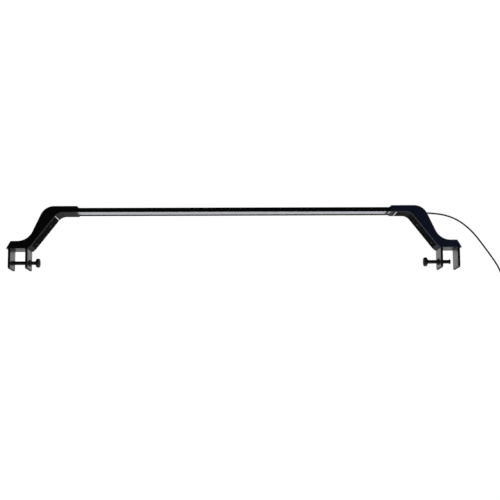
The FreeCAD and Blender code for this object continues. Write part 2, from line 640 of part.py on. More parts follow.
def bent_tube(points, radius):
    """A tube along straight runs joined by tangent arcs, with its bend radii."""
    edges, radii = [], []
    start = points[0]
    for before, corner, after in zip(points, points[1:], points[2:]):
        back, ahead = before - corner, after - corner
        cut = BEND_SHARE * min(back.Length, ahead.Length)
        back.normalize()
        ahead.normalize()
        half = back.getAngle(ahead) / 2
        bend = cut * math.tan(half)
        inward = (back + ahead).normalize()
        centre = corner + inward * (bend / math.sin(half))
        first, last = corner + back * cut, corner + ahead * cut
        edges.append(Part.LineSegment(start, first).toShape())
        edges.append(Part.Arc(first, centre - inward * bend, last).toShape())
        radii.append(bend)
        start = last
    edges.append(Part.LineSegment(start, points[-1]).toShape())
    path = Part.Wire(edges)
    ring = Part.Wire(Part.Circle(points[0], points[1] - points[0], radius).toShape())
    return path.makePipeShell([ring], True, False), path.Length, radii


def power_lead():
    """The lead from the gland, through the right shoulder, down to the coil."""
    tip = V(LEAD_X, LEAD_Y, LEAD_Z)
    points = [tip] + [tip + V(x, 0, z) for x, z in LEAD_ROUTE]
    tube, length, radii = bent_tube(points, LEAD_RADIUS)
    section = math.pi * LEAD_RADIUS ** 2
    print("lead length %.1f, volume %.1f of %.1f, bend radii %s" % (
        length, tube.Volume, section * length, ", ".join("%.0f" % r for r in radii)))
    return tube


def lead_coil():
    """The outer form of the tied coil."""
    half = LAYER_PITCH * COIL_LAYERS / 2
    section = outline((
        (COIL_INNER, -half, COIL_CORNER), (COIL_OUTER, -half, COIL_CORNER),
        (COIL_OUTER, half, COIL_CORNER), (COIL_INNER, half, COIL_CORNER)))
    ring = Part.Face(section).revolve(V(0, 0, 0), V(0, 0, 1), 360)
    ring.rotate(V(0, 0, 0), V(1, 0, 0), 90)
    ring.translate(V(COIL_X, COIL_Y, COIL_Z))
    return ring


def lead_tie():
    """The band that ties the coil at its top."""
    half = LAYER_PITCH * COIL_LAYERS / 2
    outer = box(COIL_X - TIE_WIDTH / 2, COIL_X + TIE_WIDTH / 2, COIL_Y - half - TIE,
                COIL_Y + half + TIE, COIL_Z + COIL_INNER - TIE, COIL_Z + COIL_OUTER + TIE)
    inner = box(COIL_X - TIE_WIDTH, COIL_X + TIE_WIDTH, COIL_Y - half, COIL_Y + half,
                COIL_Z + COIL_INNER - TIE / 2, COIL_Z + COIL_OUTER)
    return outer.cut(inner)


def tail_line():
    """The start and the unit direction of the tail that carries the plug."""
    start = V(LEAD_X + TAIL_START[0], TAIL_Y, LEAD_Z + TAIL_START[1])
    end = V(LEAD_X + TAIL_END[0], TAIL_Y, LEAD_Z + TAIL_END[1])
    return start, end, (end - start).normalize()


def lead_tail():
    """The short free end of the lead, between the coil and the plug."""
    start, end, way = tail_line()
    return Part.makeCylinder(LEAD_RADIUS, start.distanceToPoint(end), start, way)


def plug_body():
    """The moulded grip of the low-voltage plug, with its tapered neck."""
    _, end, way = tail_line()
    neck = Part.makeCone(PLUG_NECK_RADIUS, PLUG_RADIUS - 1, PLUG_NECK, end, way)
    grip = Part.makeCylinder(PLUG_RADIUS, PLUG_BODY, end + way * PLUG_NECK, way)
    return neck.fuse(grip).removeSplitter()


def plug_barrel():
    """The metal sleeve of the plug."""
    _, end, way = tail_line()
    start = end + way * (PLUG_NECK + PLUG_BODY)
    outer = Part.makeCylinder(BARREL_RADIUS, BARREL, start, way)
    return outer.cut(Part.makeCylinder(BARREL_BORE, BARREL, start, way))


def plug_liner():
    """The insulating liner inside the plug's sleeve."""
    _, end, way = tail_line()
    start = end + way * (PLUG_NECK + PLUG_BODY)
    outer = Part.makeCylinder(BARREL_BORE, TIP_LINER, start, way)
    return outer.cut(Part.makeCylinder(TIP_BORE, TIP_LINER, start, way))


def save_arm(side, backed_off):
    """Write every piece of one arm and of its clamp."""
    seal_start = cover_end(side)
    pieces = {
        "arm_shell": arm_shell(side),
        "arm_cover": arm_cover(side),
        "cover_seal": inner_strip(seal_start, seal_start + SEAL_WIDTH, 0, COVER, 2 * COVER_HALF),
        "cover_screws": cover_screws(),
        "sleeve_grip": grip_block(GRIP_SIZE[2], BAR_TOP_Z + GRIP_GAP),
        "clamp_bracket": clamp_bracket(),
        "bracket_screws": bracket_screws(),
        "thread_insert": thread_insert(),
        "screw_pad": screw_pad(backed_off),
        "screw_rod": screw_rod(backed_off),
        "screw_knob": screw_knob(backed_off)}
    for name, shape in pieces.items():
        save(name + "_" + side, on_side(shape, side))


def save_bar():
    """Write every piece of the light bar."""
    save("bar_housing", bar_housing())
    board_half = BAY_HALF - BOARD_MARGIN
    board_x0, board_x1 = LENS_X0 - STOP_WIDTH, LENS_X1 + BOARD_PAST_LENS
    save("thermal_tape", box(board_x0, board_x1, -board_half, board_half,
                             CEILING_Z - TAPE, CEILING_Z))
    save("led_board", box(board_x0, board_x1, -board_half, board_half,
                          BOARD_LOW_Z, CEILING_Z - TAPE))
    save("leds_white", leds(False))
    save("leds_blue", leds(True))
    save("lens", slot_plate(LENS_X0, LENS_X1))
    save("lens_stop_left", lens_stop(LENS_X0 - STOP_WIDTH))
    save("lens_stop_right", lens_stop(LENS_X1))
    save("terminal_cover_left", slot_plate(BAR_X0 + CAP, LENS_X0 - STOP_WIDTH))
    notch = box(BAR_X1 - LEAD_INSIDE - WIRE_LENGTH, BAR_X1, LEAD_Y - LEAD_NOTCH,
                LEAD_Y + LEAD_NOTCH, BAR_LOW_Z, CEILING_Z)
    save("terminal_cover_right", slot_plate(LENS_X1 + STOP_WIDTH, BAR_X1 - CAP).cut(notch))
    for side in ("left", "right"):
        save("end_cap_" + side, end_cap(side))
        save("end_cap_screws_" + side, cap_screws(side))


def save_lead():
    """Write the gland, the lead, its coil and its plug."""
    save("lead_gland", lead_gland())
    save("lead_inner", lead_inner())
    save("wire_positive", wire(WIRE_OFFSET))
    save("wire_negative", wire(-WIRE_OFFSET))
    save("lead_grommet", on_side(lead_grommet(), "right"))
    save("power_lead", power_lead())
    save("lead_coil", lead_coil())
    save("lead_tie", lead_tie())
    save("lead_tail", lead_tail())
    save("plug_body", plug_body())
    save("plug_barrel", plug_barrel())
    save("plug_liner", plug_liner())


os.makedirs("parts", exist_ok=True)
save_arm("left", 0.0)
save_arm("right", RIGHT_BACKED_OFF)
save_bar()
save_lead()
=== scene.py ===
"""Looks of a clamp-on LED aquarium light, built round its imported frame.

A slim light bar is held over a tank by two hollow arms. Each arm ends in a clamp with a thumb
screw, and a thin lead hangs from the right shoulder. Sizes are metres. X runs along the bar, Z is
up, and the origin is midway between the clamp seats, level with the glass rims.
"""
from __future__ import annotations

import logging
import math
import sys
from collections.abc import Callable, Iterable, Sequence
from dataclasses import dataclass, field
from enum import Enum
from functools import cached_property

import bmesh
import bpy
from mathutils import Euler, Matrix, Vector

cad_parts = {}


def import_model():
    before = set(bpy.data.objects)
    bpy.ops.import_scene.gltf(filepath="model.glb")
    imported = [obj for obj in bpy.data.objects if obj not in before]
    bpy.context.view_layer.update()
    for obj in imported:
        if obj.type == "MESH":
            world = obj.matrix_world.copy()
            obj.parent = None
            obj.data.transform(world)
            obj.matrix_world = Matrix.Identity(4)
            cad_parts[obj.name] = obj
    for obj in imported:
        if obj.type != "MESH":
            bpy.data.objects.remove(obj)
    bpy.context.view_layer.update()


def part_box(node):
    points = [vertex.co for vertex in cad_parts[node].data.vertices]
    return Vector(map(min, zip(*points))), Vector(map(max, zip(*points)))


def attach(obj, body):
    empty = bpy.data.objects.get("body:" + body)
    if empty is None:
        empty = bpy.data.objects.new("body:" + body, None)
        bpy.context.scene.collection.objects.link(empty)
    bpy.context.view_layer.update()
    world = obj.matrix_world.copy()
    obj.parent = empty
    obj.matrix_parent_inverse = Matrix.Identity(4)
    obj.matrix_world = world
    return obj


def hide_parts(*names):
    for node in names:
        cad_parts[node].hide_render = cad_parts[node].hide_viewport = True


LOG = logging.getLogger("aquarium_light")
MM = 0.001

Colour = tuple[float, float, float]
Place = tuple[float, float, float]
Span = tuple[float, float]
Socket = bpy.types.NodeSocket
Piece = bpy.types.Object
Shape = bmesh.types.BMesh


class Side(Enum):
    """The two ends of the lamp."""

    LEFT = "left"
    RIGHT = "right"

    @property
    def inward(self) -> float:
        """The sign of X that points from this end to the lamp's middle."""
        return 1.0 if self is Side.LEFT else -1.0

    @property
    def arm(self) -> str:
        """The body that this end's arm rides on."""
        return self.value + "_arm"

    @property
    def pad(self) -> str:
        """The body that this end's pressure pad rides on."""
        return self.value + "_pad"

    @property
    def screw(self) -> str:
        """The body that this end's thumb screw rides on."""
        return self.value + "_screw"

    def node(self, stem: str) -> str:
        """The name of this end's node of that kind."""
        return f"{stem}_{self.value}"

    def axis(self, stem: str) -> tuple[Axis, float]:
        """The level line through one of this end's nodes, towards the lamp's middle.

        Args:
            stem: The node's kind.

        Returns:
            The line from the node's outer end, and the node's length.
        """
        low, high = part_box(self.node(stem))
        start = low.x if self is Side.LEFT else high.x
        middle = Vector((start, 0, (low.z + high.z) / 2))
        return Axis(middle, Vector((self.inward, 0, 0))), high.x - low.x


BAR_BODY = "light_bar"


# ---- node trees --------------------------------------------------------------------------------


class Nodes:
    """A node tree, with short ways to add to it."""

    def __init__(self, tree: bpy.types.NodeTree) -> None:
        """Start with the tree emptied.

        Args:
            tree: The tree.
        """
        self.tree = tree
        self.tree.nodes.clear()

    def add(self, kind: str, **settings: object) -> bpy.types.Node:
        """Add a node and set its properties.

        Args:
            kind: The node's type.
            **settings: Properties of the node.

        Returns:
            The new node.
        """
        node = self.tree.nodes.new(kind)
        for name, value in settings.items():
            setattr(node, name, value)
        return node

    def join(self, source: Socket, target: Socket) -> None:
        """Link two sockets."""
        self.tree.links.new(source, target)

    def math(self, operation: str, first: Socket, second: Socket | float | None = None) -> Socket:
        """A sum, product or the like.

        Args:
            operation: The Math node's operation.
            first: The first value.
            second: The second value, where the operation takes one.

        Returns:
            The value socket.
        """
        node = self.add("ShaderNodeMath", operation=operation)
        self.join(first, node.inputs[0])
        if isinstance(second, float):
            node.inputs[1].default_value = second
        elif second is not None:
            self.join(second, node.inputs[1])
        return node.outputs["Value"]

    def seen_or_lit(self, seen: Socket, lit: Socket) -> Socket:
        """One shader for what is looked at and another for what only lights or mirrors.

        Args:
            seen: The shader that is looked at.
            lit: The shader that all else meets.

        Returns:
            The mixed shader's socket.
        """
        ray, mix = self.add("ShaderNodeLightPath"), self.add("ShaderNodeMixShader")
        for source, target in zip((ray.outputs["Is Camera Ray"], lit, seen), mix.inputs):
            self.join(source, target)
        return mix.outputs["Shader"]


# ---- materials ---------------------------------------------------------------------------------


class Desk(Nodes):
    """A new material's nodes, with short ways to add patterns to them."""

    def __init__(self, name: str) -> None:
        """Start an empty material.

        Args:
            name: The material's name.
        """
        self.material = bpy.data.materials.new(name)
        self.material.use_nodes = True
        super().__init__(self.material.node_tree)
        self.output = self.add("ShaderNodeOutputMaterial")

    @cached_property
    def shader(self) -> bpy.types.Node:
        """The principled shader.

        Returns:
            The node, added and linked on first use.
        """
        node = self.add("ShaderNodeBsdfPrincipled")
        self.join(node.outputs["BSDF"], self.output.inputs["Surface"])
        return node

    def set(self, **values: object) -> None:
        """Set constants on the principled shader; an underscore stands for a space."""
        for name, value in values.items():
            self.shader.inputs[name.replace("_", " ")].default_value = value

    def use(self, name: str, socket: Socket) -> None:
        """Link a socket to one of the principled shader's inputs."""
        self.join(socket, self.shader.inputs[name])

    def place(self, stretch: Place = (1, 1, 1)) -> Socket:
        """Object coordinates, stretched along the axes.

        Args:
            stretch: Scale along X, Y and Z.

        Returns:
            The vector socket.
        """
        source = self.add("ShaderNodeTexCoord")
        mapping = self.add("ShaderNodeMapping")
        mapping.inputs["Scale"].default_value = stretch
        self.join(source.outputs["Object"], mapping.inputs["Vector"])
        return mapping.outputs["Vector"]

    def texture(self, kind: str, where: Socket, **values: float) -> bpy.types.Node:
        """Add a texture node.

        Args:
            kind: The node's type.
            where: The vector it reads.
            **values: Constants on its sockets.

        Returns:
            The new node.
        """
        node = self.add(kind)
        for name, value in values.items():
            node.inputs[name].default_value = value
        self.join(where, node.inputs["Vector"])
        return node

    def noise(self, where: Socket, scale: float, detail: float = 3.0,
              roughness: float = 0.55) -> Socket:
        """A noise pattern.

        Args:
            where: The vector it reads.
            scale: Cells per metre.
            detail: Octaves.
            roughness: Weight of the finer octaves.

        Returns:
            The factor socket.
        """
        return self.texture("ShaderNodeTexNoise", where, Scale=scale, Detail=detail,
                            Roughness=roughness).outputs["Fac"]

    def cells(self, where: Socket, scale: float) -> Socket:
        """Distance to the nearest of scattered points, as in a moulded grain."""
        return self.texture("ShaderNodeTexVoronoi", where, Scale=scale).outputs["Distance"]

    def ramp(self, factor: Socket, stops: Sequence[tuple[float, Colour]]) -> Socket:
        """A colour ramp.

        Args:
            factor: What it reads.
            stops: Positions and colours, in order.

        Returns:
            The colour socket.
        """
        node = self.add("ShaderNodeValToRGB")
        for element, (position, colour) in zip(node.color_ramp.elements, stops, strict=True):
            element.position = position
            element.color = (*colour, 1.0)
        self.join(factor, node.inputs["Fac"])
        return node.outputs["Color"]

    def span(self, factor: Socket, low: float, high: float, start: float = 0.3,
             stop: float = 0.7) -> Socket:
        """A factor taken from one range to another, and held at its ends.

        Args:
            factor: What it reads.
            low: What start becomes.
            high: What stop becomes.
            start: The first end of the range that is read.
            stop: The other end.

        Returns:
            The value socket.
        """
        node = self.add("ShaderNodeMapRange")
        for name, value in (("From Min", start), ("From Max", stop), ("To Min", low),
                            ("To Max", high)):
            node.inputs[name].default_value = value
        self.join(factor, node.inputs["Value"])
        return node.outputs["Result"]

    def blend(self, factor: Socket, first: Socket, second: Colour) -> Socket:
        """A mix of a colour socket and a plain colour.

        Args:
            factor: The second colour's share.
            first: The first colour.
            second: The second colour.

        Returns:
            The colour socket.
        """
        node = self.add("ShaderNodeMix", data_type="RGBA")
        self.join(factor, node.inputs["Factor"])
        under, over = (s for s in node.inputs if s.type == "RGBA")
        self.join(first, under)
        over.default_value = (*second, 1.0)
        return next(s for s in node.outputs if s.type == "RGBA")

    def edges(self, radius: float, sharp: float = 0.75, flat: float = 0.995) -> Socket:
        """How close a point is to a hard edge, from 0 to about 1.

        Args:
            radius: The width of the band beside an edge.
            sharp: The agreement of rounded and plain normals that counts as an edge.
            flat: The agreement that counts as a flat face.

        Returns:
            The value socket.
        """
        soft = self.add("ShaderNodeBevel", samples=4)
        soft.inputs["Radius"].default_value = radius
        plain = self.add("ShaderNodeNewGeometry")
        product = self.add("ShaderNodeVectorMath", operation="DOT_PRODUCT")
        self.join(soft.outputs["Normal"], product.inputs[0])
        self.join(plain.outputs["Normal"], product.inputs[1])
        return self.span(product.outputs["Value"], 1.0, 0.0, sharp, flat)

    def times(self, first: Socket, second: Socket) -> Socket:
        """The product of two values."""
        return self.math("MULTIPLY", first, second)

    def relief(self, height: Socket, depth: float, strength: float = 0.5,
               below: Socket | None = None) -> Socket:
        """A bump.

        Args:
            height: The pattern.
            depth: Its depth in metres.
            strength: Its strength.
            below: Another bump's normal, under this one.

        Returns:
            The normal socket.
        """
        node = self.add("ShaderNodeBump")
        node.inputs["Strength"].default_value = strength
        node.inputs["Distance"].default_value = depth
        self.join(height, node.inputs["Height"])
        if below is not None:
            self.join(below, node.inputs["Normal"])
        return node.outputs["Normal"]


@dataclass(frozen=True)
class Finish:
    """A finish. Each kind of finish says how its material is made in paint()."""

    name: str

    def paint(self, desk: Desk) -> None:
        """Draw the finish on the nodes of a new material."""
        raise NotImplementedError

    def material(self) -> bpy.types.Material:
        """The material, made on first use.

        Returns:
            The material.
        """
        known = bpy.data.materials.get(self.name)
        if known is None:
            desk = Desk(self.name)
            self.paint(desk)
            known = desk.material
        return known


@dataclass(frozen=True)
class MouldedPlastic(Finish):
    """Injection-moulded plastic: a fine spark-eroded grain, faint flow marks and rubbed edges."""

    colour: Colour
    flow: Colour
    rubbed: Colour
    gloss: Span = (0.34, 0.48)
    specular: float = 0.4
    grain: float = 1900.0
    depth: float = 0.03 * MM
    wear: float = 0.5
    coat: float = 0.0
    coat_roughness: float = 0.14

    def paint(self, desk: Desk) -> None:
        """Draw the finish.

        Args:
            desk: The new material's nodes.
        """
        even, drawn = desk.place(), desk.place((0.35, 1.0, 1.4))
        broad = desk.noise(drawn, 26.0, 4.0)
        body = desk.ramp(broad, [(0.32, self.colour), (0.68, self.flow)])
        scuffs = desk.noise(desk.place((1.0, 3.5, 0.6)), 210.0, 5.0, 0.7)
        worn = desk.times(desk.edges(0.35 * MM), desk.span(scuffs, 0.0, self.wear, 0.42, 0.62))
        desk.use("Base Color", desk.blend(worn, body, self.rubbed))
        desk.use("Roughness", desk.span(desk.noise(even, 75.0, 5.0), *self.gloss))
        pebbles = desk.relief(desk.cells(even, self.grain), self.depth, 0.35)
        desk.use("Normal", desk.relief(desk.noise(even, 120.0, 2.0), 0.02 * MM, 0.2, pebbles))
        desk.set(Specular_IOR_Level=self.specular, Coat_Weight=self.coat,
                 Coat_Roughness=self.coat_roughness)


@dataclass(frozen=True)
class DrawnMetal(Finish):
    """Metal with fine lines along X, as an extrusion or a drawn rod has."""

    colour: Colour
    streak: Colour
    worn: Colour
    roughness: Span = (0.3, 0.42)
    metallic: float = 1.0
    specular: float = 0.5
    anisotropic: float = 0.35

    def paint(self, desk: Desk) -> None:
        """Draw the finish.

        Args:
            desk: The new material's nodes.
        """
        drawn = desk.place((0.012, 1.0, 1.0))
        lines = desk.noise(drawn, 2600.0, 2.0, 0.6)
        tone = desk.ramp(lines, [(0.3, self.colour), (0.75, self.streak)])
        chips = desk.span(desk.noise(desk.place(), 340.0, 4.0, 0.7), 0.0, 0.6, 0.5, 0.66)
        desk.use("Base Color", desk.blend(desk.times(desk.edges(0.2 * MM), chips), tone, self.worn))
        desk.use("Roughness", desk.span(desk.noise(drawn, 900.0, 3.0), *self.roughness))
        desk.use("Normal", desk.relief(lines, 0.01 * MM, 0.3))
        desk.set(Metallic=self.metallic, Specular_IOR_Level=self.specular,
                 Anisotropic=self.anisotropic)


@dataclass(frozen=True)
class Plated(Finish):
    """Plated or blackened metal on a small part, with handling marks."""

    colour: Colour
    dull: Colour
    roughness: Span = (0.16, 0.34)

    def paint(self, desk: Desk) -> None:
        """Draw the finish.

        Args:
            desk: The new material's nodes.
        """
        even = desk.place()
        marks = desk.noise(even, 420.0, 5.0, 0.65)
        desk.use("Base Color", desk.ramp(marks, [(0.35, self.dull), (0.6, self.colour)]))
        desk.use("Roughness", desk.span(marks, self.roughness[1], self.roughness[0]))
        desk.use("Normal", desk.relief(desk.noise(even, 1500.0, 3.0), 0.008 * MM, 0.25))
        desk.set(Metallic=1.0)


@dataclass(frozen=True)
class Rubber(Finish):
    """Soft rubber, silicone or PVC: matt, slightly blotched, with a very fine skin."""

    colour: Colour
    bloom: Colour
    roughness: Span = (0.5, 0.68)
    specular: float = 0.35
    skin: float = 1400.0

    def paint(self, desk: Desk) -> None:
        """Draw the finish.

        Args:
            desk: The new material's nodes.
        """
        even = desk.place()
        blotch = desk.noise(even, 130.0, 5.0, 0.6)
        desk.use("Base Color", desk.ramp(blotch, [(0.35, self.colour), (0.72, self.bloom)]))
        desk.use("Roughness", desk.span(desk.noise(even, 260.0, 3.0), *self.roughness))
        desk.use("Normal", desk.relief(desk.noise(even, self.skin, 3.0), 0.02 * MM, 0.3))
        desk.set(Specular_IOR_Level=self.specular)


@dataclass(frozen=True)
class FrostedAcrylic(Finish):
    """A milky lens with drawn ripples along it and a little dust."""

    colour: Colour
    shade: Colour
    dust: Colour
    roughness: float = 0.42
    transmission: float = 0.25

    def paint(self, desk: Desk) -> None:
        """Draw the finish.

        Args:
            desk: The new material's nodes.
        """
        ripples = desk.noise(desk.place((0.03, 1.0, 1.0)), 420.0, 3.0, 0.6)
        tone = desk.ramp(ripples, [(0.3, self.shade), (0.7, self.colour)])
        specks = desk.span(desk.noise(desk.place(), 760.0, 4.0, 0.75), 0.0, 0.55, 0.6, 0.74)
        desk.use("Base Color", desk.blend(specks, tone, self.dust))
        desk.use("Roughness", desk.span(specks, self.roughness, 0.75, 0.0, 0.5))
        desk.use("Normal", desk.relief(ripples, 0.03 * MM, 0.35))
        desk.set(Transmission_Weight=self.transmission, IOR=1.49)


@dataclass(frozen=True)
class BoardMask(Finish):
    """Solder mask over copper: tracks show as faint raised bands, with a slight orange peel."""

    colour: Colour
    track: Colour

    def paint(self, desk: Desk) -> None:
        """Draw the finish.

        Args:
            desk: The new material's nodes.
        """
        bands = desk.texture("ShaderNodeTexWave", desk.place(), Scale=42.0)
        bands.bands_direction = "Y"
        wave = bands.outputs["Fac"]
        tracks = desk.ramp(wave, [(0.55, self.colour), (0.62, self.track)])
        stain = desk.span(desk.noise(desk.place(), 160.0, 4.0), 0.0, 0.35)
        desk.use("Base Color", desk.blend(stain, tracks, tuple(0.93 * c for c in self.colour)))
        desk.use("Normal", desk.relief(wave, 0.03 * MM, 0.2))
        desk.set(Roughness=0.3)


@dataclass(frozen=True)
class Phosphor(Finish):
    """A light chip's face: a gel dome of one colour in a pale frame, cell by cell."""

    gel: Colour
    deep: Colour

    def paint(self, desk: Desk) -> None:
        """Draw the finish.

        Args:
            desk: The new material's nodes.
        """
        grain = desk.noise(desk.place(), 2400.0, 3.0, 0.7)
        desk.use("Base Color", desk.ramp(grain, [(0.3, self.deep), (0.65, self.gel)]))
        desk.use("Normal", desk.relief(grain, 0.01 * MM, 0.3))
        desk.set(Roughness=0.22, Coat_Weight=0.3)


@dataclass(frozen=True)
class PaleStage(Finish):
    """The floor and backdrop: even off-white to look at.

    What they light and what mirrors in the lamp is shaped as in a studio: a lit table below, a
    dark panel behind it, a soft wall above the panel and soft wings at both sides of it. Each of
    these has its strength, and the two places between which it rises or fades.
    """

    colour: Colour
    shown: float = 1.06
    table: float = 1.05
    table_front: Span = (-2.8, -1.5)
    table_back: Span = (0.9, 2.2)
    foot: float = 0.32
    foot_top: Span = (-1.15, -0.95)
    wall: float = 0.14
    wall_base: Span = (-0.4, 0.2)
    wing: float = 0.8
    wing_edge: Span = (1.1, 1.28)

    def paint(self, desk: Desk) -> None:
        """Draw the finish.

        Args:
            desk: The new material's nodes.
        """
        mottle = desk.noise(desk.place(), 1.5, 2.0)
        tone = desk.ramp(mottle, [(0.3, self.colour), (0.7, tuple(0.99 * c for c in self.colour))])
        apart = desk.add("ShaderNodeSeparateXYZ")
        desk.join(desk.place(), apart.inputs["Vector"])
        across, y, z = (apart.outputs[axis] for axis in "XYZ")
        light = desk.times(desk.span(y, self.table, 0.0, *self.table_back),
                           desk.span(y, 0.0, 1.0, *self.table_front))
        for part in (desk.span(z, self.foot, 0.0, *self.foot_top),
                     desk.span(z, 0.0, self.wall, *self.wall_base),
                     desk.span(desk.math("ABSOLUTE", across), 0.0, self.wing, *self.wing_edge)):
            light = desk.math("MAXIMUM", light, part)
        seen, lit = desk.add("ShaderNodeEmission"), desk.add("ShaderNodeEmission")
        seen.inputs["Strength"].default_value = self.shown
        desk.join(tone, seen.inputs["Color"])
        desk.join(light, lit.inputs["Strength"])
        mixed = desk.seen_or_lit(seen.outputs["Emission"], lit.outputs["Emission"])
        desk.join(mixed, desk.output.inputs["Surface"])


SHELL_LEFT = MouldedPlastic("shell_black", (0.0012, 0.0012, 0.0015), (0.0020, 0.0020, 0.0026),
                            (0.040, 0.041, 0.047), gloss=(0.36, 0.5), specular=0.16,
                            coat=0.35)
# The right arm is the same black plastic as the left. Its navy-black colours, rubbed edges
# included, are painted sheen that stands in for how the light falls on that arm.
SHELL_RIGHT_PAINTED_SHEEN = MouldedPlastic("shell_blue_black", (0.0068, 0.0125, 0.033),
                             (0.0098, 0.0175, 0.046), (0.055, 0.064, 0.086), gloss=(0.34, 0.47),
                             specular=0.2, coat=0.35)
COVER_PLASTIC = MouldedPlastic("cover_black", (0.0016, 0.0017, 0.0022), (0.0026, 0.0028, 0.0036),
                               (0.05, 0.052, 0.06), gloss=(0.16, 0.22), specular=0.06, grain=2400.0)
CLAMP_PLASTIC = MouldedPlastic("clamp_graphite", (0.0050, 0.0051, 0.0062),
                               (0.0070, 0.0072, 0.0088), (0.05, 0.05, 0.056), gloss=(0.3, 0.4),
                               specular=0.5)
KNOB_PLASTIC = MouldedPlastic("knob_black", (0.004, 0.004, 0.0046), (0.006, 0.006, 0.007),
                              (0.04, 0.04, 0.043), gloss=(0.42, 0.56))
ROD_PLASTIC = MouldedPlastic("rod_black", (0.004, 0.004, 0.0045), (0.006, 0.006, 0.0065),
                             (0.05, 0.05, 0.052), gloss=(0.4, 0.55), wear=0.7)
INSERT_PLASTIC = MouldedPlastic("insert_black", (0.005, 0.005, 0.0055), (0.007, 0.007, 0.0078),
                                (0.05, 0.05, 0.054), gloss=(0.42, 0.56))
BEZEL_PLASTIC = MouldedPlastic("bezel_black", (0.005, 0.005, 0.0062), (0.007, 0.007, 0.0085),
                               (0.05, 0.05, 0.056), gloss=(0.4, 0.54))
TERMINAL_PLASTIC = MouldedPlastic("terminal_grey", (0.50, 0.51, 0.54), (0.56, 0.57, 0.60),
                                  (0.66, 0.66, 0.68), gloss=(0.38, 0.52), wear=0.3)
ANODISED = DrawnMetal("black_anodised", (0.0025, 0.0025, 0.0032), (0.0044, 0.0045, 0.0058),
                      (0.035, 0.035, 0.039), metallic=0.06, specular=0.15)
SCREW_STEEL = Plated("black_oxide", (0.10, 0.10, 0.11), (0.045, 0.045, 0.05), (0.26, 0.42))
NICKEL = Plated("nickel_plate", (0.78, 0.76, 0.72), (0.52, 0.50, 0.47))
COPPER_PAD = Plated("tinned_pad", (0.76, 0.76, 0.74), (0.55, 0.55, 0.53), (0.22, 0.4))
PAD_RUBBER = Rubber("pad_rubber", (0.008, 0.008, 0.0085), (0.014, 0.014, 0.015))
SEAL_SILICONE = Rubber("seal_silicone", (0.70, 0.70, 0.71), (0.82, 0.82, 0.83), (0.4, 0.55))
SHEATH = Rubber("lead_sheath", (0.0065, 0.0065, 0.007), (0.011, 0.011, 0.012), (0.42, 0.56), 0.2)
WIRE_RED = Rubber("wire_red", (0.42, 0.02, 0.02), (0.55, 0.035, 0.03), (0.35, 0.5))
WIRE_BLACK = Rubber("wire_black", (0.012, 0.012, 0.012), (0.02, 0.02, 0.02), (0.35, 0.5))
TAPE = Rubber("thermal_tape", (0.34, 0.36, 0.39), (0.42, 0.44, 0.47))
LENS_ACRYLIC = FrostedAcrylic("frosted_lens", (0.76, 0.77, 0.82), (0.69, 0.70, 0.75),
                              (0.46, 0.46, 0.48), transmission=0.12)
BOARD = BoardMask("board_mask", (0.84, 0.85, 0.85), (0.76, 0.78, 0.78))
WHITE_GEL = Phosphor("white_gel", (0.90, 0.83, 0.42), (0.78, 0.68, 0.27))
BLUE_GEL = Phosphor("blue_gel", (0.22, 0.38, 0.86), (0.12, 0.24, 0.66))
CHIP_FRAME = Rubber("chip_frame", (0.80, 0.80, 0.78), (0.88, 0.88, 0.87), (0.3, 0.42))
STUDIO = PaleStage("studio_white", (0.97, 0.97, 0.97))


# ---- mesh work ---------------------------------------------------------------------------------


def put_in(name: str, data: bpy.types.ID) -> Piece:
    """Make an object of some data and put it in the scene.

    Args:
        name: The object's name.
        data: Its mesh, curve, light or camera.

    Returns:
        The new object, at the origin.
    """
    piece = bpy.data.objects.new(name, data)
    bpy.context.scene.collection.objects.link(piece)
    return piece


def link_mesh(name: str, mesh: bpy.types.Mesh, finish: Finish) -> Piece:
    """Put a mesh in the scene with one finish.

    Args:
        name: The piece's name.
        mesh: Its mesh, in place.
        finish: Its finish.

    Returns:
        The new object, at the origin.
    """
    mesh.materials.clear()
    mesh.materials.append(finish.material())
    return put_in(name, mesh)


def as_mesh(name: str, shape: Shape) -> bpy.types.Mesh:
    """Turn a drawn shape into a mesh.

    Args:
        name: The mesh's name.
        shape: The shape, which is freed.

    Returns:
        The new mesh.
    """
    mesh = bpy.data.meshes.new(name)
    shape.to_mesh(mesh)
    shape.free()
    return mesh


def flatten(piece: Piece) -> Piece:
    """Turn a piece's modifiers into plain mesh.

    Args:
        piece: The piece.

    Returns:
        The same piece, with no modifiers.
    """
    bpy.context.view_layer.update()
    graph = bpy.context.evaluated_depsgraph_get()
    mesh = bpy.data.meshes.new_from_object(piece.evaluated_get(graph), depsgraph=graph)
    piece.modifiers.clear()
    piece.data = mesh
    mesh.name = piece.name
    return piece


def weld(piece: Piece, reach: float = 0.006 * MM) -> Piece:
    """Close a piece's slivers, where points lie almost on each other.

    Args:
        piece: The piece.
        reach: How near two points are joined.

    Returns:
        The same piece.
    """
    shape = bmesh.new()
    shape.from_mesh(piece.data)
    bmesh.ops.remove_doubles(shape, verts=shape.verts, dist=reach)
    bmesh.ops.dissolve_degenerate(shape, dist=reach, edges=shape.edges)
    shape.to_mesh(piece.data)
    shape.free()
    return piece


def soften(piece: Piece, edge: float, segments: int = 2,
           sharp: float = 38.0) -> Piece:
    """Round a piece's hard edges, keep its flat faces flat, and shade the rest smooth.

    Args:
        piece: The piece.
        edge: Width of the rounding, or 0 for none.
        segments: Segments across the rounding.
        sharp: Angle in degrees above which an edge counts as hard.

    Returns:
        The same piece, as plain mesh.
    """
    for face in piece.data.polygons:
        face.use_smooth = True
    if edge > 0:
        bevel = piece.modifiers.new("edges", "BEVEL")
        bevel.width = edge
        bevel.segments = segments
        bevel.limit_method = "ANGLE"
        bevel.angle_limit = math.radians(sharp)
        bevel.miter_outer = "MITER_ARC"
        weld(flatten(piece))
    piece.data.set_sharp_from_angle(angle=math.radians(sharp))
    weighted = piece.modifiers.new("normals", "WEIGHTED_NORMAL")
    weighted.keep_sharp = True
    return flatten(piece)


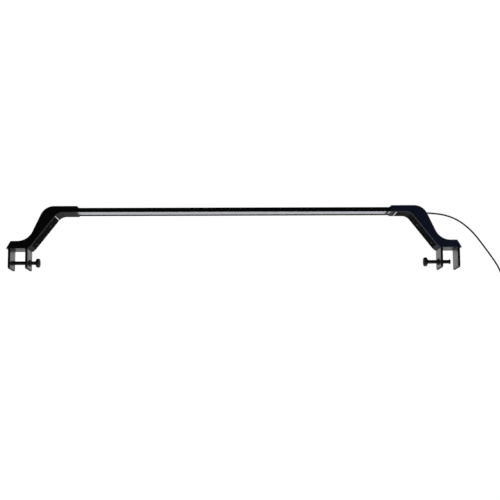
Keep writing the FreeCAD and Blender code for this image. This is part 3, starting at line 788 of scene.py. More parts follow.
def make_piece(name: str, shape: Shape, finish: Finish, edge: float = 0.0,
               sharp: float = 38.0) -> Piece:
    """Close a drawn shape and make a piece of it.

    Args:
        name: The piece's name.
        shape: The shape, which is freed.
        finish: The piece's finish.
        edge: Width of the rounding on hard edges.
        sharp: Angle in degrees above which an edge counts as hard.

    Returns:
        The new piece.
    """
    bmesh.ops.remove_doubles(shape, verts=shape.verts, dist=0.001 * MM)
    bmesh.ops.recalc_face_normals(shape, faces=shape.faces)
    return soften(link_mesh(name, as_mesh(name, shape), finish), edge, sharp=sharp)


def from_node(node: str, name: str, finish: Finish, edge: float = 0.2 * MM) -> Piece:
    """A finished piece with the exact form of a frame node, its hard edges rounded.

    Args:
        node: The frame node.
        name: The piece's name.
        finish: The piece's finish.
        edge: Width of the rounding.

    Returns:
        The new piece.
    """
    shape = bmesh.new()
    shape.from_mesh(bpy.data.objects[node].data)
    bmesh.ops.remove_doubles(shape, verts=shape.verts, dist=0.001 * MM)
    bmesh.ops.dissolve_limit(shape, angle_limit=math.radians(0.6), verts=shape.verts,
                             edges=shape.edges)
    return soften(link_mesh(name, as_mesh(name, shape), finish), edge)


def merge(name: str, pieces: Sequence[Piece]) -> Piece:
    """Join pieces of one finish into the first of them.

    Args:
        name: The name that the result takes.
        pieces: The pieces, of which only the first is kept.

    Returns:
        The joined piece.
    """
    shape = bmesh.new()
    for piece in pieces:
        shape.from_mesh(piece.data)
    first = pieces[0]
    shape.to_mesh(first.data)
    shape.free()
    for piece in pieces[1:]:
        bpy.data.objects.remove(piece)
    first.name = name
    first.data.name = name
    return first


def cut_from(piece: Piece, tool: Piece) -> Piece:
    """Cut one shape out of another.

    Args:
        piece: What is cut.
        tool: The cutting shape, which is removed.

    Returns:
        The cut piece.
    """
    cut = piece.modifiers.new("cut", "BOOLEAN")
    cut.operation = "DIFFERENCE"
    cut.solver = "EXACT"
    cut.object = tool
    weld(flatten(piece))
    bpy.data.objects.remove(tool)
    return piece


def eased(points: Sequence[tuple[float, float]], ease: float, steps: int = 3,
          closed: bool = False) -> list[tuple[float, float]]:
    """A flat line with its corners rounded.

    Args:
        points: The corners.
        ease: Length taken from each side of a corner, at most 0.45 of the side.
        steps: Straight bits per corner.
        closed: Whether the last point joins the first.

    Returns:
        The rounded line's points.
    """
    result: list[tuple[float, float]] = []
    count = len(points)
    for i, point in enumerate(points):
        if not closed and i in (0, count - 1):
            result.append(point)
            continue
        here = Vector(point)
        back, ahead = Vector(points[i - 1]) - here, Vector(points[(i + 1) % count]) - here
        first = here + back.normalized() * min(ease, 0.45 * back.length)
        last = here + ahead.normalized() * min(ease, 0.45 * ahead.length)
        for k in range(steps + 1):
            t = k / steps
            spot = first * (1 - t) ** 2 + here * (2 * t * (1 - t)) + last * t ** 2
            result.append((spot.x, spot.y))
    return result


@dataclass(frozen=True)
class Axis:
    """A straight line that turned pieces are built round."""

    start: Vector
    way: Vector

    def frame(self) -> tuple[Vector, Vector]:
        """Two unit vectors across the line."""
        side = Vector((0, 1, 0))
        return side, self.way.cross(side).normalized()

    def point(self, along: float, radius: float, angle: float) -> Vector:
        """A point near the line.

        Args:
            along: Distance along it.
            radius: Distance from it.
            angle: Angle round it.

        Returns:
            The point.
        """
        side, up = self.frame()
        return (self.start + self.way * along + side * (radius * math.cos(angle))
                + up * (radius * math.sin(angle)))


RadiusRule = Callable[[float, float, float], float]


def turned(axis: Axis, profile: Sequence[tuple[float, float]], steps: int = 48,
           rule: RadiusRule | None = None, closed: bool = False) -> Shape:
    """A turned shape.

    Args:
        axis: The line it is turned round.
        profile: Distances along the line and radii; a radius of 0 closes an end.
        steps: Points round.
        rule: Gives the radius from the distance along, the angle and the plain radius.
        closed: Whether the profile is a closed section, as a bush has.

    Returns:
        The shape.
    """
    shape = bmesh.new()
    rings: list[list[bmesh.types.BMVert]] = []
    for along, radius in profile:
        if radius < 1e-9:
            rings.append([shape.verts.new(axis.point(along, 0, 0))])
            continue
        ring = []
        for i in range(steps):
            angle = 2 * math.pi * i / steps
            actual = rule(along, angle, radius) if rule else radius
            ring.append(shape.verts.new(axis.point(along, actual, angle)))
        rings.append(ring)
    pairs = list(zip(rings, rings[1:]))
    if closed:
        pairs.append((rings[-1], rings[0]))
    for low, high in pairs:
        for i in range(steps):
            j = (i + 1) % steps
            if len(low) == 1 and len(high) == 1:
                continue
            if len(low) == 1:
                shape.faces.new((low[0], high[i], high[j]))
            elif len(high) == 1:
                shape.faces.new((low[i], high[0], low[j]))
            else:
                shape.faces.new((low[i], high[i], high[j], low[j]))
    return shape


def drawn_along_x(section: Sequence[tuple[float, float]], x0: float, x1: float
                  ) -> Shape:
    """A section in the YZ plane drawn out along X, with closed ends.

    Args:
        section: The section's (y, z) points, in order.
        x0: One end.
        x1: The other end.

    Returns:
        The shape.
    """
    shape = bmesh.new()
    ends = [[shape.verts.new((x, y, z)) for y, z in section] for x in (x0, x1)]
    count = len(section)
    for i in range(count):
        j = (i + 1) % count
        shape.faces.new((ends[0][i], ends[0][j], ends[1][j], ends[1][i]))
    shape.faces.new(ends[0])
    shape.faces.new(ends[1])
    return shape


def block(low: Vector, high: Vector) -> Shape:
    """A block between two corners, for a small part whose edges are then rounded.

    Args:
        low: The lowest corner.
        high: The highest corner.

    Returns:
        The shape.
    """
    shape = bmesh.new()
    size, middle = high - low, (low + high) / 2
    bmesh.ops.create_cube(shape, size=1.0, matrix=Matrix.LocRotScale(middle, None, size))
    return shape


# ---- geometry node trees -----------------------------------------------------------------------


class Tree(Nodes):
    """A geometry node tree with named inputs."""

    def __init__(self, name: str) -> None:
        """Start a tree that takes and gives geometry.

        Args:
            name: The tree's name.
        """
        super().__init__(bpy.data.node_groups.new(name, "GeometryNodeTree"))
        for way in ("INPUT", "OUTPUT"):
            self.tree.interface.new_socket("Geometry", in_out=way,
                                           socket_type="NodeSocketGeometry")
        self.start = self.add("NodeGroupInput")
        self.end = self.add("NodeGroupOutput")

    def input(self, name: str, kind: str) -> Socket:
        """Add a named input.

        Args:
            name: Its name.
            kind: The last part of its socket type, such as Float.

        Returns:
            The socket on the input node.
        """
        self.tree.interface.new_socket(name, in_out="INPUT", socket_type="NodeSocket" + kind)
        return self.start.outputs[name]

    def repeat(self, unit: Socket, points: Socket) -> bpy.types.Node:
        """End the tree with a unit on each point, realised and in its finish.

        Args:
            unit: The unit's object.
            points: The geometry whose points are used.

        Returns:
            The node that puts the copies.
        """
        info = self.add("GeometryNodeObjectInfo")
        put = self.add("GeometryNodeInstanceOnPoints")
        realise = self.add("GeometryNodeRealizeInstances")
        dress = self.add("GeometryNodeSetMaterial")
        for source, target in ((unit, info.inputs["Object"]),
                               (points, put.inputs["Points"]),
                               (info.outputs["Geometry"], put.inputs["Instance"]),
                               (put.outputs["Instances"], realise.inputs["Geometry"]),
                               (realise.outputs["Geometry"], dress.inputs["Geometry"]),
                               (self.input("Finish", "Material"), dress.inputs["Material"]),
                               (dress.outputs["Geometry"], self.end.inputs["Geometry"])):
            self.join(source, target)
        return put


def rows_tree() -> bpy.types.NodeTree:
    """The tree that repeats a unit in rows and columns about a centre.

    Returns:
        The node tree, made on first use.
    """
    name = "rows_of_units"
    if name in bpy.data.node_groups:
        return bpy.data.node_groups[name]
    tree = Tree(name)
    unit = tree.input("Unit", "Object")
    columns, lines = tree.input("Columns", "Int"), tree.input("Rows", "Int")
    across, along = tree.input("Column Pitch", "Float"), tree.input("Row Pitch", "Float")
    grid = tree.add("GeometryNodeMeshGrid")
    for count, pitch, axis in ((columns, across, "X"), (lines, along, "Y")):
        tree.join(count, grid.inputs["Vertices " + axis])
        spaces = tree.math("SUBTRACT", count, 1.0)
        tree.join(tree.math("MULTIPLY", spaces, pitch), grid.inputs["Size " + axis])
    shift = tree.add("GeometryNodeTransform")
    tree.join(grid.outputs["Mesh"], shift.inputs["Geometry"])
    tree.join(tree.input("Centre", "Vector"), shift.inputs["Translation"])
    tree.repeat(unit, shift.outputs["Geometry"])
    return tree.tree


def facing_tree() -> bpy.types.NodeTree:
    """The tree that puts a unit on each of the mesh's points, its Z turned to the facing.

    Returns:
        The node tree, made on first use.
    """
    name = "units_on_points"
    if name in bpy.data.node_groups:
        return bpy.data.node_groups[name]
    tree = Tree(name)
    unit, facing = tree.input("Unit", "Object"), tree.input("Facing", "Vector")
    align = tree.add("FunctionNodeAlignEulerToVector", axis="Z")
    tree.join(facing, align.inputs["Vector"])
    put = tree.repeat(unit, tree.start.outputs["Geometry"])
    tree.join(align.outputs["Rotation"], put.inputs["Rotation"])
    return tree.tree


def grown(name: str, tree: bpy.types.NodeTree, finish: Finish, points: Iterable[Vector] = (),
          **inputs: object) -> Piece:
    """A piece made by a node tree.

    Args:
        name: The piece's name.
        tree: The node tree.
        finish: The piece's finish.
        points: The mesh points that the tree starts from.
        **inputs: The tree's inputs; an underscore stands for a space.

    Returns:
        The piece, as plain mesh.
    """
    mesh = bpy.data.meshes.new(name)
    mesh.from_pydata([tuple(p) for p in points], [], [])
    piece = link_mesh(name, mesh, finish)
    modifier = piece.modifiers.new("units", "NODES")
    modifier.node_group = tree
    values = {key.replace("_", " "): value for key, value in inputs.items()}
    values["Finish"] = finish.material()
    for socket in tree.interface.items_tree:
        if socket.in_out == "INPUT" and socket.name in values:
            modifier[socket.identifier] = values[socket.name]
    return flatten(piece)


def rows(name: str, unit: Piece, finish: Finish, columns: int, count: int,
         pitch: float, spacing: float, centre: Vector) -> Piece:
    """A unit repeated in rows and columns.

    Args:
        name: The piece's name.
        unit: The unit, drawn about the origin.
        finish: The piece's finish.
        columns: Units along X.
        count: Units along Y.
        pitch: Spacing along X.
        spacing: Spacing along Y.
        centre: The middle of the field.

    Returns:
        The piece.
    """
    return grown(name, rows_tree(), finish, Unit=unit, Columns=columns, Rows=count,
                 Column_Pitch=pitch, Row_Pitch=spacing, Centre=tuple(centre))


def settle(piece: Piece, body: str, slot: str, *nodes: str) -> Piece:
    """Ride a finished piece on its body, hide the frame nodes that it stands for, and log it.

    Args:
        piece: The finished piece.
        body: The body it rides on.
        slot: Not used.
        *nodes: Frame nodes that it stands for.

    Returns:
        The piece.
    """
    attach(piece, body)
    if nodes:
        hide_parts(*nodes)
    count = len(piece.data.polygons) if piece.type == "MESH" else 0
    LOG.info("%s rides on %s, %d faces", piece.name, body, count)
    return piece


def copy_of(node: str, name: str, finish: Finish, body: str, slot: str, edge: float) -> Piece:
    """A softened copy of a frame node, which rides in its place and stands for it."""
    return settle(from_node(node, name, finish, edge), body, slot, node)


# ---- camera, lights and floor ------------------------------------------------------------------


@dataclass(frozen=True)
class SoftLight:
    """A rectangular soft light, with its power in watts."""

    name: str
    place: Place
    aim: Place
    size: Span
    power: float

    def hang(self) -> None:
        """Put the light in the scene, turned to its aim."""
        data = bpy.data.lights.new(self.name, "AREA")
        data.shape = "RECTANGLE"
        data.size, data.size_y = self.size
        data.energy = self.power
        light = put_in(self.name, data)
        light.location = self.place
        way = Vector(self.aim) - Vector(self.place)
        light.rotation_euler = way.to_track_quat("-Z", "Y").to_euler()


@dataclass
class Studio:
    """The camera, the soft lights, and a pale floor that sweeps up behind the lamp.

    Angles are degrees. near and wall are the Y of the floor's front edge and of the wall, height
    is the Z of the wall's top, and sweep is the radius of the curve between floor and wall.
    """

    place: Place = (0.001, -2.1275, -0.269)
    pitch: float = 7.18
    yaw: float = -0.74
    roll: float = -0.28
    lens: float = 83.85
    sensor: float = 36.0
    sight: float = 40.0
    floor: float = -2.4
    near: float = -4.0
    wall: float = 4.6
    height: float = 5.0
    half_width: float = 6.0
    sweep: float = 1.6
    sweep_steps: int = 16
    dim_colour: Colour = (0.92, 0.95, 1.0)
    dim: float = 0.05

    LIGHTS = (
        SoftLight("top_soft", (0.2, 0.7, 1.9), aim=(0, 0, 0.05), size=(2.6, 1.2), power=42.0),
        SoftLight("back_soft", (-0.5, 2.6, 0.9), aim=(0, 0, 0.03), size=(3.0, 1.6), power=9.0),
        SoftLight("right_soft", (1.9, -0.9, 0.9), aim=(0.35, 0, 0.04), size=(0.9, 0.9), power=7.0))

    def camera(self) -> None:
        """Make the camera."""
        data = bpy.data.cameras.new("view")
        data.lens = self.lens
        data.sensor_width = self.sensor
        data.clip_end = self.sight
        camera = put_in("view", data)
        camera.location = self.place
        aim = Euler((math.radians(90 + self.pitch), 0, math.radians(self.yaw))).to_matrix()
        camera.rotation_euler = (aim @ Matrix.Rotation(math.radians(self.roll), 3, "Z")).to_euler()
        bpy.context.scene.camera = camera

    def backdrop(self) -> None:
        """Make the floor and the sweep behind it as one sheet."""
        turn = Vector((self.wall - self.sweep, self.floor + self.sweep))
        line = [(self.near, self.floor)]
        for k in range(self.sweep_steps + 1):
            angle = math.pi / 2 * k / self.sweep_steps
            line.append((turn.x + self.sweep * math.sin(angle),
                         turn.y - self.sweep * math.cos(angle)))
        line.append((self.wall, self.height))
        shape = bmesh.new()
        sides = [[shape.verts.new((x, y, z)) for y, z in line]
                 for x in (-self.half_width, self.half_width)]
        for i in range(len(line) - 1):
            shape.faces.new((sides[0][i], sides[1][i], sides[1][i + 1], sides[0][i + 1]))
        mesh = as_mesh("backdrop", shape)
        for face in mesh.polygons:
            face.use_smooth = True
        link_mesh("backdrop", mesh, STUDIO)

    def world(self) -> None:
        """Make the surroundings: pale where they are seen, dim where they only light."""
        world = bpy.data.worlds.new("room")
        world.use_nodes = True
        nodes = Nodes(world.node_tree)
        seen, dim = nodes.add("ShaderNodeBackground"), nodes.add("ShaderNodeBackground")
        seen.inputs["Color"].default_value = (1.0, 1.0, 1.0, 1.0)
        dim.inputs["Color"].default_value = (*self.dim_colour, 1.0)
        dim.inputs["Strength"].default_value = self.dim
        output = nodes.add("ShaderNodeOutputWorld")
        nodes.join(nodes.seen_or_lit(seen.outputs["Background"], dim.outputs["Background"]),
                   output.inputs["Surface"])
        bpy.context.scene.world = world

    def build(self) -> None:
        """Make everything but the camera."""
        self.backdrop()
        for light in self.LIGHTS:
            light.hang()
        self.world()
        bpy.context.scene.view_settings.view_transform = "Standard"
        bpy.context.scene.view_settings.look = "None"


# ---- the lead ----------------------------------------------------------------------------------


@dataclass
class Lead:
    """The thin lead: out through the right shoulder, down to a tied coil, and its plug.

    The coil is flat spirals behind each other. change is the part of a turn in which the lead goes
    from one spiral to the next, and places are (x, z) from the gland's tip.
    """

    radius: float = 1.5 * MM
    length: float = 1.31
    points_per_turn: int = 16
    coil_centre: Span = (192.6 * MM, -165.6 * MM)
    outer: float = 21.1 * MM
    pitch: float = 3.1 * MM
    turns_per_layer: int = 2
    layers: int = 4
    change: float = 1 / 3
    tail_start: Span = (171.5 * MM, -167.6 * MM)
    tail_end: Span = (172.5 * MM, -193.6 * MM)
    round_steps: int = 5
    long_steps: int = 6
    gland_ribs: int = 6

    # points of the hanging lead, as (x, z) in millimetres from the gland's tip
    ROUTE = ((0.0, 0.0), (39.0, 0.0), (79.0, -7.4), (112.0, -30.6), (139.0, -67.2),
             (165.0, -105.6), (171.5, -135.6), (171.5, -161.6))

    def tip(self) -> Vector:
        """Where the lead leaves its gland."""
        low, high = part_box("lead_gland")
        return Vector((high.x, (low.y + high.y) / 2, (low.z + high.z) / 2))

    def coil_points(self, tip: Vector) -> list[Vector]:
        """The coil's turns: flat spirals, in and out by turns, one layer behind another.

        Args:
            tip: Where the lead leaves its gland.

        Returns:
            The points.
        """
        widen = 1 / math.cos(math.pi / self.points_per_turn)
        centre = tip + Vector((self.coil_centre[0], 0, self.coil_centre[1]))
        reach = self.pitch * self.turns_per_layer
        whole = self.layers * self.turns_per_layer + (self.layers - 1) * self.change
        points = []
        for i in range(1, round(whole * self.points_per_turn)):
            turned_by = i / self.points_per_turn
            layer, into = divmod(turned_by, self.turns_per_layer + self.change)
            share = min(into / self.turns_per_layer, 1.0)
            radius = self.outer - reach * (share if layer % 2 == 0 else 1 - share)
            shift = layer + max(0.0, into - self.turns_per_layer) / self.change
            angle = math.pi + 2 * math.pi * turned_by
            across = Vector((math.cos(angle), 0, math.sin(angle)))
            points.append(centre + across * (radius * widen) + Vector((0, shift * self.pitch, 0)))
        return points

    def cord(self) -> None:
        """The cord as one curve, with its tie and its plug."""
        tip = self.tip()
        back = Vector((0, self.pitch * (self.layers - 1), 0))
        route = [tip + Vector((x, 0, z)) * MM for x, z in self.ROUTE]
        tail = [tip + back + Vector((x, 0, z)) for x, z in (self.tail_start, self.tail_end)]
        points = route + self.coil_points(tip) + tail
        curve = bpy.data.curves.new("power_lead_cord", "CURVE")
        curve.dimensions = "3D"
        curve.bevel_depth = self.radius
        curve.bevel_resolution = self.round_steps
        curve.use_fill_caps = True
        curve.resolution_u = self.long_steps
        spline = curve.splines.new("NURBS")
        spline.points.add(len(points) - 1)
        for knot, point in zip(spline.points, points):
            knot.co = (*point, 1.0)
        spline.order_u = 3
        spline.use_endpoint_u = True
        curve.materials.append(SHEATH.material())
        cord = put_in("power_lead_cord", curve)
        settle(cord, BAR_BODY, "lead_pvc", "power_lead", "lead_coil", "lead_tail")
        pieces = [self.tie(), *Plug(Axis(tail[1], (tail[1] - tail[0]).normalized())).build()]

    def tie(self) -> Piece:
        """The band round the coil."""
        return copy_of("lead_tie", "lead_tie_band", SHEATH, BAR_BODY, "lead_pvc", 0.25 * MM)

    def gland(self) -> None:
        """The ribbed gland, which tapers from the end cap to the lead."""
        low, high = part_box("lead_gland")
        size = high.x - low.x
        collar, collar_length, root, taper = 2.7 * MM, 1.5 * MM, 2.45 * MM, 0.35 * MM
        rib, groove = 0.35 * MM, 0.3 * MM
        profile = [(0.0, self.radius), (0.0, collar), (collar_length, collar),
                   (collar_length, root)]
        for k in range(self.gland_ribs):
            along = 2.0 * MM + (size - 2.6 * MM) * k / self.gland_ribs
            radius = root - taper * k / self.gland_ribs
            profile += [(along, radius), (along + rib, radius - groove),
                        (along + 2 * rib, radius - 0.02 * MM)]
        profile += [(size, 2.05 * MM), (size, self.radius)]
        tip = self.tip()
        shape = turned(Axis(Vector((low.x, tip.y, tip.z)), Vector((1, 0, 0))), profile, 40,
                       closed=True)
        settle(make_piece("lead_gland_ribbed", shape, SHEATH), BAR_BODY, "lead_pvc", "lead_gland")

    def wires(self) -> None:
        """The sheathed end inside the gland, and the two wires to the board."""
        for node, name, finish, slot in (
                ("lead_inner", "lead_sheath_end", SHEATH, "lead_pvc"),
                ("wire_positive", "wire_red", WIRE_RED, "wire_red"),
                ("wire_negative", "wire_black", WIRE_BLACK, "wire_black")):
            low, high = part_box(node)
            radius, span = (high.z - low.z) / 2, high.x - low.x
            ends = [(0.0, 0.0), (0.0, radius), (span, radius), (span, 0.0)]
            middle = Vector((low.x, (low.y + high.y) / 2, (low.z + high.z) / 2))
            shape = turned(Axis(middle, Vector((1, 0, 0))), eased(ends, 0.15 * MM, 2), 24)
            settle(make_piece(name, shape, finish), BAR_BODY, slot, node)

    def bush(self) -> None:
        """The right shoulder's bush, its bore flared at both ends to clear the lead."""
        low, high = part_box("lead_grommet")
        length, flange_depth, waist = high.x - low.x, 1.0 * MM, 4.5 * MM
        flange, body, mouth, throat, narrow = 5.0 * MM, 3.9 * MM, 3.5 * MM, 2.8 * MM, 2.9 * MM
        ring = [(0.0, mouth), (0.0, flange), (flange_depth, flange), (flange_depth, body),
                (length, body), (length, throat), (waist, narrow)]
        tip = self.tip()
        axis = Axis(Vector((high.x, tip.y, tip.z)), Vector((-1, 0, 0)))
        shape = turned(axis, eased(ring, 0.3 * MM, 3, closed=True), 48, closed=True)
        settle(make_piece("lead_bush", shape, PAD_RUBBER), Side.RIGHT.arm, "pad_rubber",
               "lead_grommet")

    def build(self) -> None:
        """Make the cord with its plug, and its fittings."""
        self.cord()
        self.gland()
        self.wires()
        self.bush()


@dataclass
class Plug:
    """The moulded plug: ribbed neck, waisted grip, plated sleeve and liner."""

    axis: Axis
    neck: float = 9.0 * MM
    neck_root: float = 2.4 * MM
    neck_growth: float = 1.3 * MM
    ribs: int = 5
    rib_half: float = 0.45 * MM
    grip: float = 20.0 * MM
    grip_radius: float = 4.9 * MM
    rounding: float = 0.6 * MM
    flat: float = 0.75 * MM
    flat_margin: float = 0.1
    flat_ribs: int = 9
    flat_rib: float = 0.12 * MM
    sleeve: float = 9.5 * MM
    sleeve_radius: float = 2.75 * MM
    liner: float = 8.5 * MM
    liner_radius: float = 1.95 * MM
    bore: float = 1.05 * MM

    def waist(self, along: float, angle: float, radius: float) -> float:
        """Two finger flats with fine ribs, on the grip's broad sides.

        Args:
            along: Distance along the plug.
            angle: Angle round it.
            radius: The plain radius.

        Returns:
            The radius there.
        """
        share, margin = (along - self.neck) / self.grip, self.flat_margin
        if not margin < share < 1 - margin:
            return radius
        flat = max(0.0, abs(math.sin(angle)) - 0.5) * 2
        ripple = self.flat_rib * math.cos(2 * math.pi * share * self.flat_ribs)
        dip = math.sin(math.pi * (share - margin) / (1 - 2 * margin))
        return radius - flat * dip * (self.flat - ripple)

    def moulding(self) -> Shape:
        """The neck and the grip.

        Returns:
            The shape.
        """
        profile = [(0.0, 0.0), (0.0, self.neck_root - 0.05 * MM)]
        for k in range(self.ribs):
            along = self.neck * (k + 0.5) / self.ribs
            radius = self.neck_root + self.neck_growth * (k + 0.5) / self.ribs
            profile += [(along - self.rib_half, radius), (along - 0.3 * MM, radius - 0.55 * MM),
                        (along + 0.3 * MM, radius - 0.5 * MM), (along + self.rib_half, radius)]
        end = self.neck + self.grip
        profile += [(self.neck, 3.85 * MM), (self.neck + 0.4 * MM, self.grip_radius - 0.2 * MM),
                    (self.neck + 1.4 * MM, self.grip_radius)]
        profile += [(self.neck + self.grip * (0.08 + 0.07 * k), self.grip_radius)
                    for k in range(1, 12)]
        profile += [(end - self.rounding, self.grip_radius),
                    (end, self.grip_radius - self.rounding), (end, 0.0)]
        return turned(self.axis, profile, 48, self.waist)

    def tube(self, length: float, outer: float, bore: float, ease: float, corner: int,
             steps: int) -> Shape:
        """A tube that stands out of the grip.

        Args:
            length: Its length.
            outer: Its outer radius.
            bore: Its bore's radius.
            ease: Rounding of its corners.
            corner: Straight bits per corner.
            steps: Points round.

        Returns:
            The shape.
        """
        start = self.neck + self.grip
        ring = [(start, outer), (start + length, outer), (start + length, bore), (start, bore)]
        return turned(self.axis, eased(ring, ease, corner, closed=True), steps, closed=True)

    def build(self) -> list[Piece]:
        """Make the plug.

        Returns:
            Its pieces.
        """
        grip = make_piece("plug_grip", self.moulding(), SHEATH)
        metal = self.tube(self.sleeve, self.sleeve_radius, self.liner_radius, 0.3 * MM, 3, 48)
        sleeve = make_piece("plug_sleeve", metal, NICKEL)
        inner = self.tube(self.liner, self.liner_radius, self.bore, 0.2 * MM, 2, 40)
        liner = make_piece("plug_tip_liner", inner, BEZEL_PLASTIC)
        return [settle(grip, BAR_BODY, "lead_pvc", "plug_body"),
                settle(sleeve, BAR_BODY, "plug_metal", "plug_barrel"),
                settle(liner, BAR_BODY, "bezel_plastic", "plug_liner")]


# ---- the light bar -----------------------------------------------------------------------------


@dataclass
class LightBar:
    """The extruded housing with its lens, board, light chips, covers and caps."""

    wall: float = 3.6 * MM
    roof: float = 1.8 * MM
    lens_recess: float = 1.8 * MM
    lens_depth: float = 1.6 * MM
    tongue: float = 0.6 * MM
    fins: int = 14
    fin_gap: float = 1.6 * MM
    fin_depth: float = 0.6 * MM
    groove_rise: float = 1.8 * MM
    groove_width: float = 1.2 * MM
    groove_depth: float = 0.6 * MM
    ripple: float = 0.09 * MM
    ripples: int = 30
    columns: int = 24
    row_count: int = 3
    row_pitch: float = 12.0 * MM
    chip: Vector = field(default_factory=lambda: Vector((2.85, 1.5, 0.4)) * MM)
    gel_height: float = 0.25 * MM
    gel_stretch: float = 1.9
    solder: Vector = field(default_factory=lambda: Vector((0.5, 0.9, 0.04)) * MM)
    solder_reach: float = 3.6 * MM
    solder_drop: float = 0.03 * MM

    def housing(self) -> None:
        """The anodised channel, with fins on top and a groove along each side."""
        low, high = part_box("bar_housing")
        bay = high.y - self.wall
        slot = bay + self.tongue
        lens_low = low.z + self.lens_recess
        lens_top = lens_low + self.lens_depth
        groove = low.z + self.groove_rise
        side = [(high.y, low.z), (high.y, groove), (high.y - self.groove_depth, groove + 0.1 * MM),
                (high.y - self.groove_depth, groove + self.groove_width - 0.1 * MM),
                (high.y, groove + self.groove_width), (high.y, high.z)]
        top = []
        pitch = 2 * high.y / self.fins
        for i in range(1, self.fins):
            y = high.y - pitch * i
            half = self.fin_gap / 2
            top += [(y + half, high.z), (y + half, high.z - self.fin_depth),
                    (y - half, high.z - self.fin_depth), (y - half, high.z)]
        mirrored = [(-y, z) for y, z in reversed(side)]
        inner = [(-bay, low.z), (-bay, lens_low), (-slot, lens_low), (-slot, lens_top),
                 (-bay, lens_top), (-bay, high.z - self.roof)]
        section = side + top + mirrored + inner + [(-y, z) for y, z in reversed(inner)]
        shape = drawn_along_x(eased(section, 0.22 * MM, 2, closed=True), low.x, high.x)
        piece = make_piece("bar_extrusion", shape, ANODISED, sharp=50.0)
        settle(piece, BAR_BODY, "housing_aluminium", "bar_housing")

    def lens(self) -> None:
        """The frosted lens, finely reeded underneath."""
        low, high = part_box("lens")
        inner = high.y - self.tongue - 0.3 * MM
        under = []
        count = self.ripples * 2
        for i in range(count + 1):
            y = -inner + 2 * inner * i / count
            under.append((y, low.z + (self.ripple if i % 2 == 0 else 0.0)))
        top = eased([(high.y, low.z), (high.y, high.z), (low.y, high.z), (low.y, low.z)],
                    0.15 * MM, 2)
        shape = drawn_along_x(under + top, low.x, high.x)
        settle(make_piece("lens_reeded", shape, LENS_ACRYLIC, sharp=75.0), BAR_BODY,
               "lens_acrylic", "lens")

    def chip_field(self, z: float) -> tuple[float, Vector]:
        """The chips' pitch along the lens, and the middle of their field.

        Args:
            z: The field's height.

        Returns:
            The pitch and the middle.
        """
        low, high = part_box("lens")
        return (high.x - low.x) / self.columns, Vector(((low.x + high.x) / 2, 0, z))

    def chips(self) -> None:
        """The light chips: a pale frame and a gel face each, in three rows."""
        low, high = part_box("leds_white")
        pitch, middle = self.chip_field((low.z + high.z) / 2)
        shift = Vector((pitch / 2, 0, 0))
        half = self.columns // 2
        frame = make_piece("chip_frame_unit", block(-self.chip, self.chip), CHIP_FRAME, 0.12 * MM)
        dome = [(0.0, 0.0), (0.0, 1.2 * MM), (0.12 * MM, 1.1 * MM), (0.22 * MM, 0.7 * MM),
                (self.gel_height, 0.0)]
        face = Vector((0, 0, -(high.z - low.z) / 2 + self.gel_height))
        oval = turned(Axis(face, Vector((0, 0, -1))), dome, 20)
        oval.transform(Matrix.Diagonal((self.gel_stretch, 1.0, 1.0, 1.0)))
        gel = make_piece("chip_gel_unit", oval, WHITE_GEL)
        outer = (self.columns, 2, pitch, 2 * self.row_pitch, middle)
        odd = (half, 1, 2 * pitch, 0.0, middle + shift)
        even = (half, 1, 2 * pitch, 0.0, middle - shift)
        frames = merge("chip_frames_white", [rows("outer", frame, CHIP_FRAME, *outer),
                                             rows("odd", frame, CHIP_FRAME, *odd)])
        gels = merge("chip_gels_white", [rows("outer", gel, WHITE_GEL, *outer),
                                         rows("odd", gel, WHITE_GEL, *odd)])
        blue_frames = rows("chip_frames_blue", frame, CHIP_FRAME, *even)
        blue_gels = rows("chip_gels_blue", gel, BLUE_GEL, *even)
        settle(frames, BAR_BODY, "led_white", "leds_white")
        settle(gels, BAR_BODY, "led_white")
        settle(blue_frames, BAR_BODY, "led_blue", "leds_blue")
        settle(blue_gels, BAR_BODY, "led_blue")
        bpy.data.objects.remove(frame)
        bpy.data.objects.remove(gel)

    def board(self) -> None:
        """The white board on its tape, with tinned pads beside each chip."""
        copy_of("led_board", "board_masked", BOARD, BAR_BODY, "board_white", 0.08 * MM)
        copy_of("thermal_tape", "tape_strip", TAPE, BAR_BODY, "tape_grey", 0.03 * MM)
        low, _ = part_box("led_board")
        pitch, middle = self.chip_field(low.z - self.solder_drop)
        pad = make_piece("pad_unit", block(-self.solder, self.solder), COPPER_PAD, 0.03 * MM)
        reach = Vector((self.solder_reach, 0, 0))
        fields = [rows("pads", pad, COPPER_PAD, self.columns, self.row_count, pitch,
                       self.row_pitch, middle + way) for way in (reach, -reach)]
        settle(merge("board_pads", fields), BAR_BODY, "plug_metal")
        bpy.data.objects.remove(pad)

    def ends(self) -> None:
        """The bezels, the pale terminal covers, the end caps and their screws."""
        for side in Side:
            for stem, name, finish, slot, edge in (
                    ("lens_stop", "lens_bezel", BEZEL_PLASTIC, "bezel_plastic", 0.25 * MM),
                    ("terminal_cover", "terminal_plate", TERMINAL_PLASTIC, "terminal_cover",
                     0.15 * MM),
                    ("end_cap", "bar_end_cap", BEZEL_PLASTIC, "bezel_plastic", 0.3 * MM),
                    ("end_cap_screws", "bar_end_screws", SCREW_STEEL, "screw_steel", 0.1 * MM)):
                copy_of(side.node(stem), side.node(name), finish, BAR_BODY, slot, edge)

    def build(self) -> None:
        """Make every piece of the bar."""
        self.housing()
        self.lens()
        self.board()
        self.chips()
        self.ends()


# ---- arms and thumb screws ---------------------------------------------------------------------


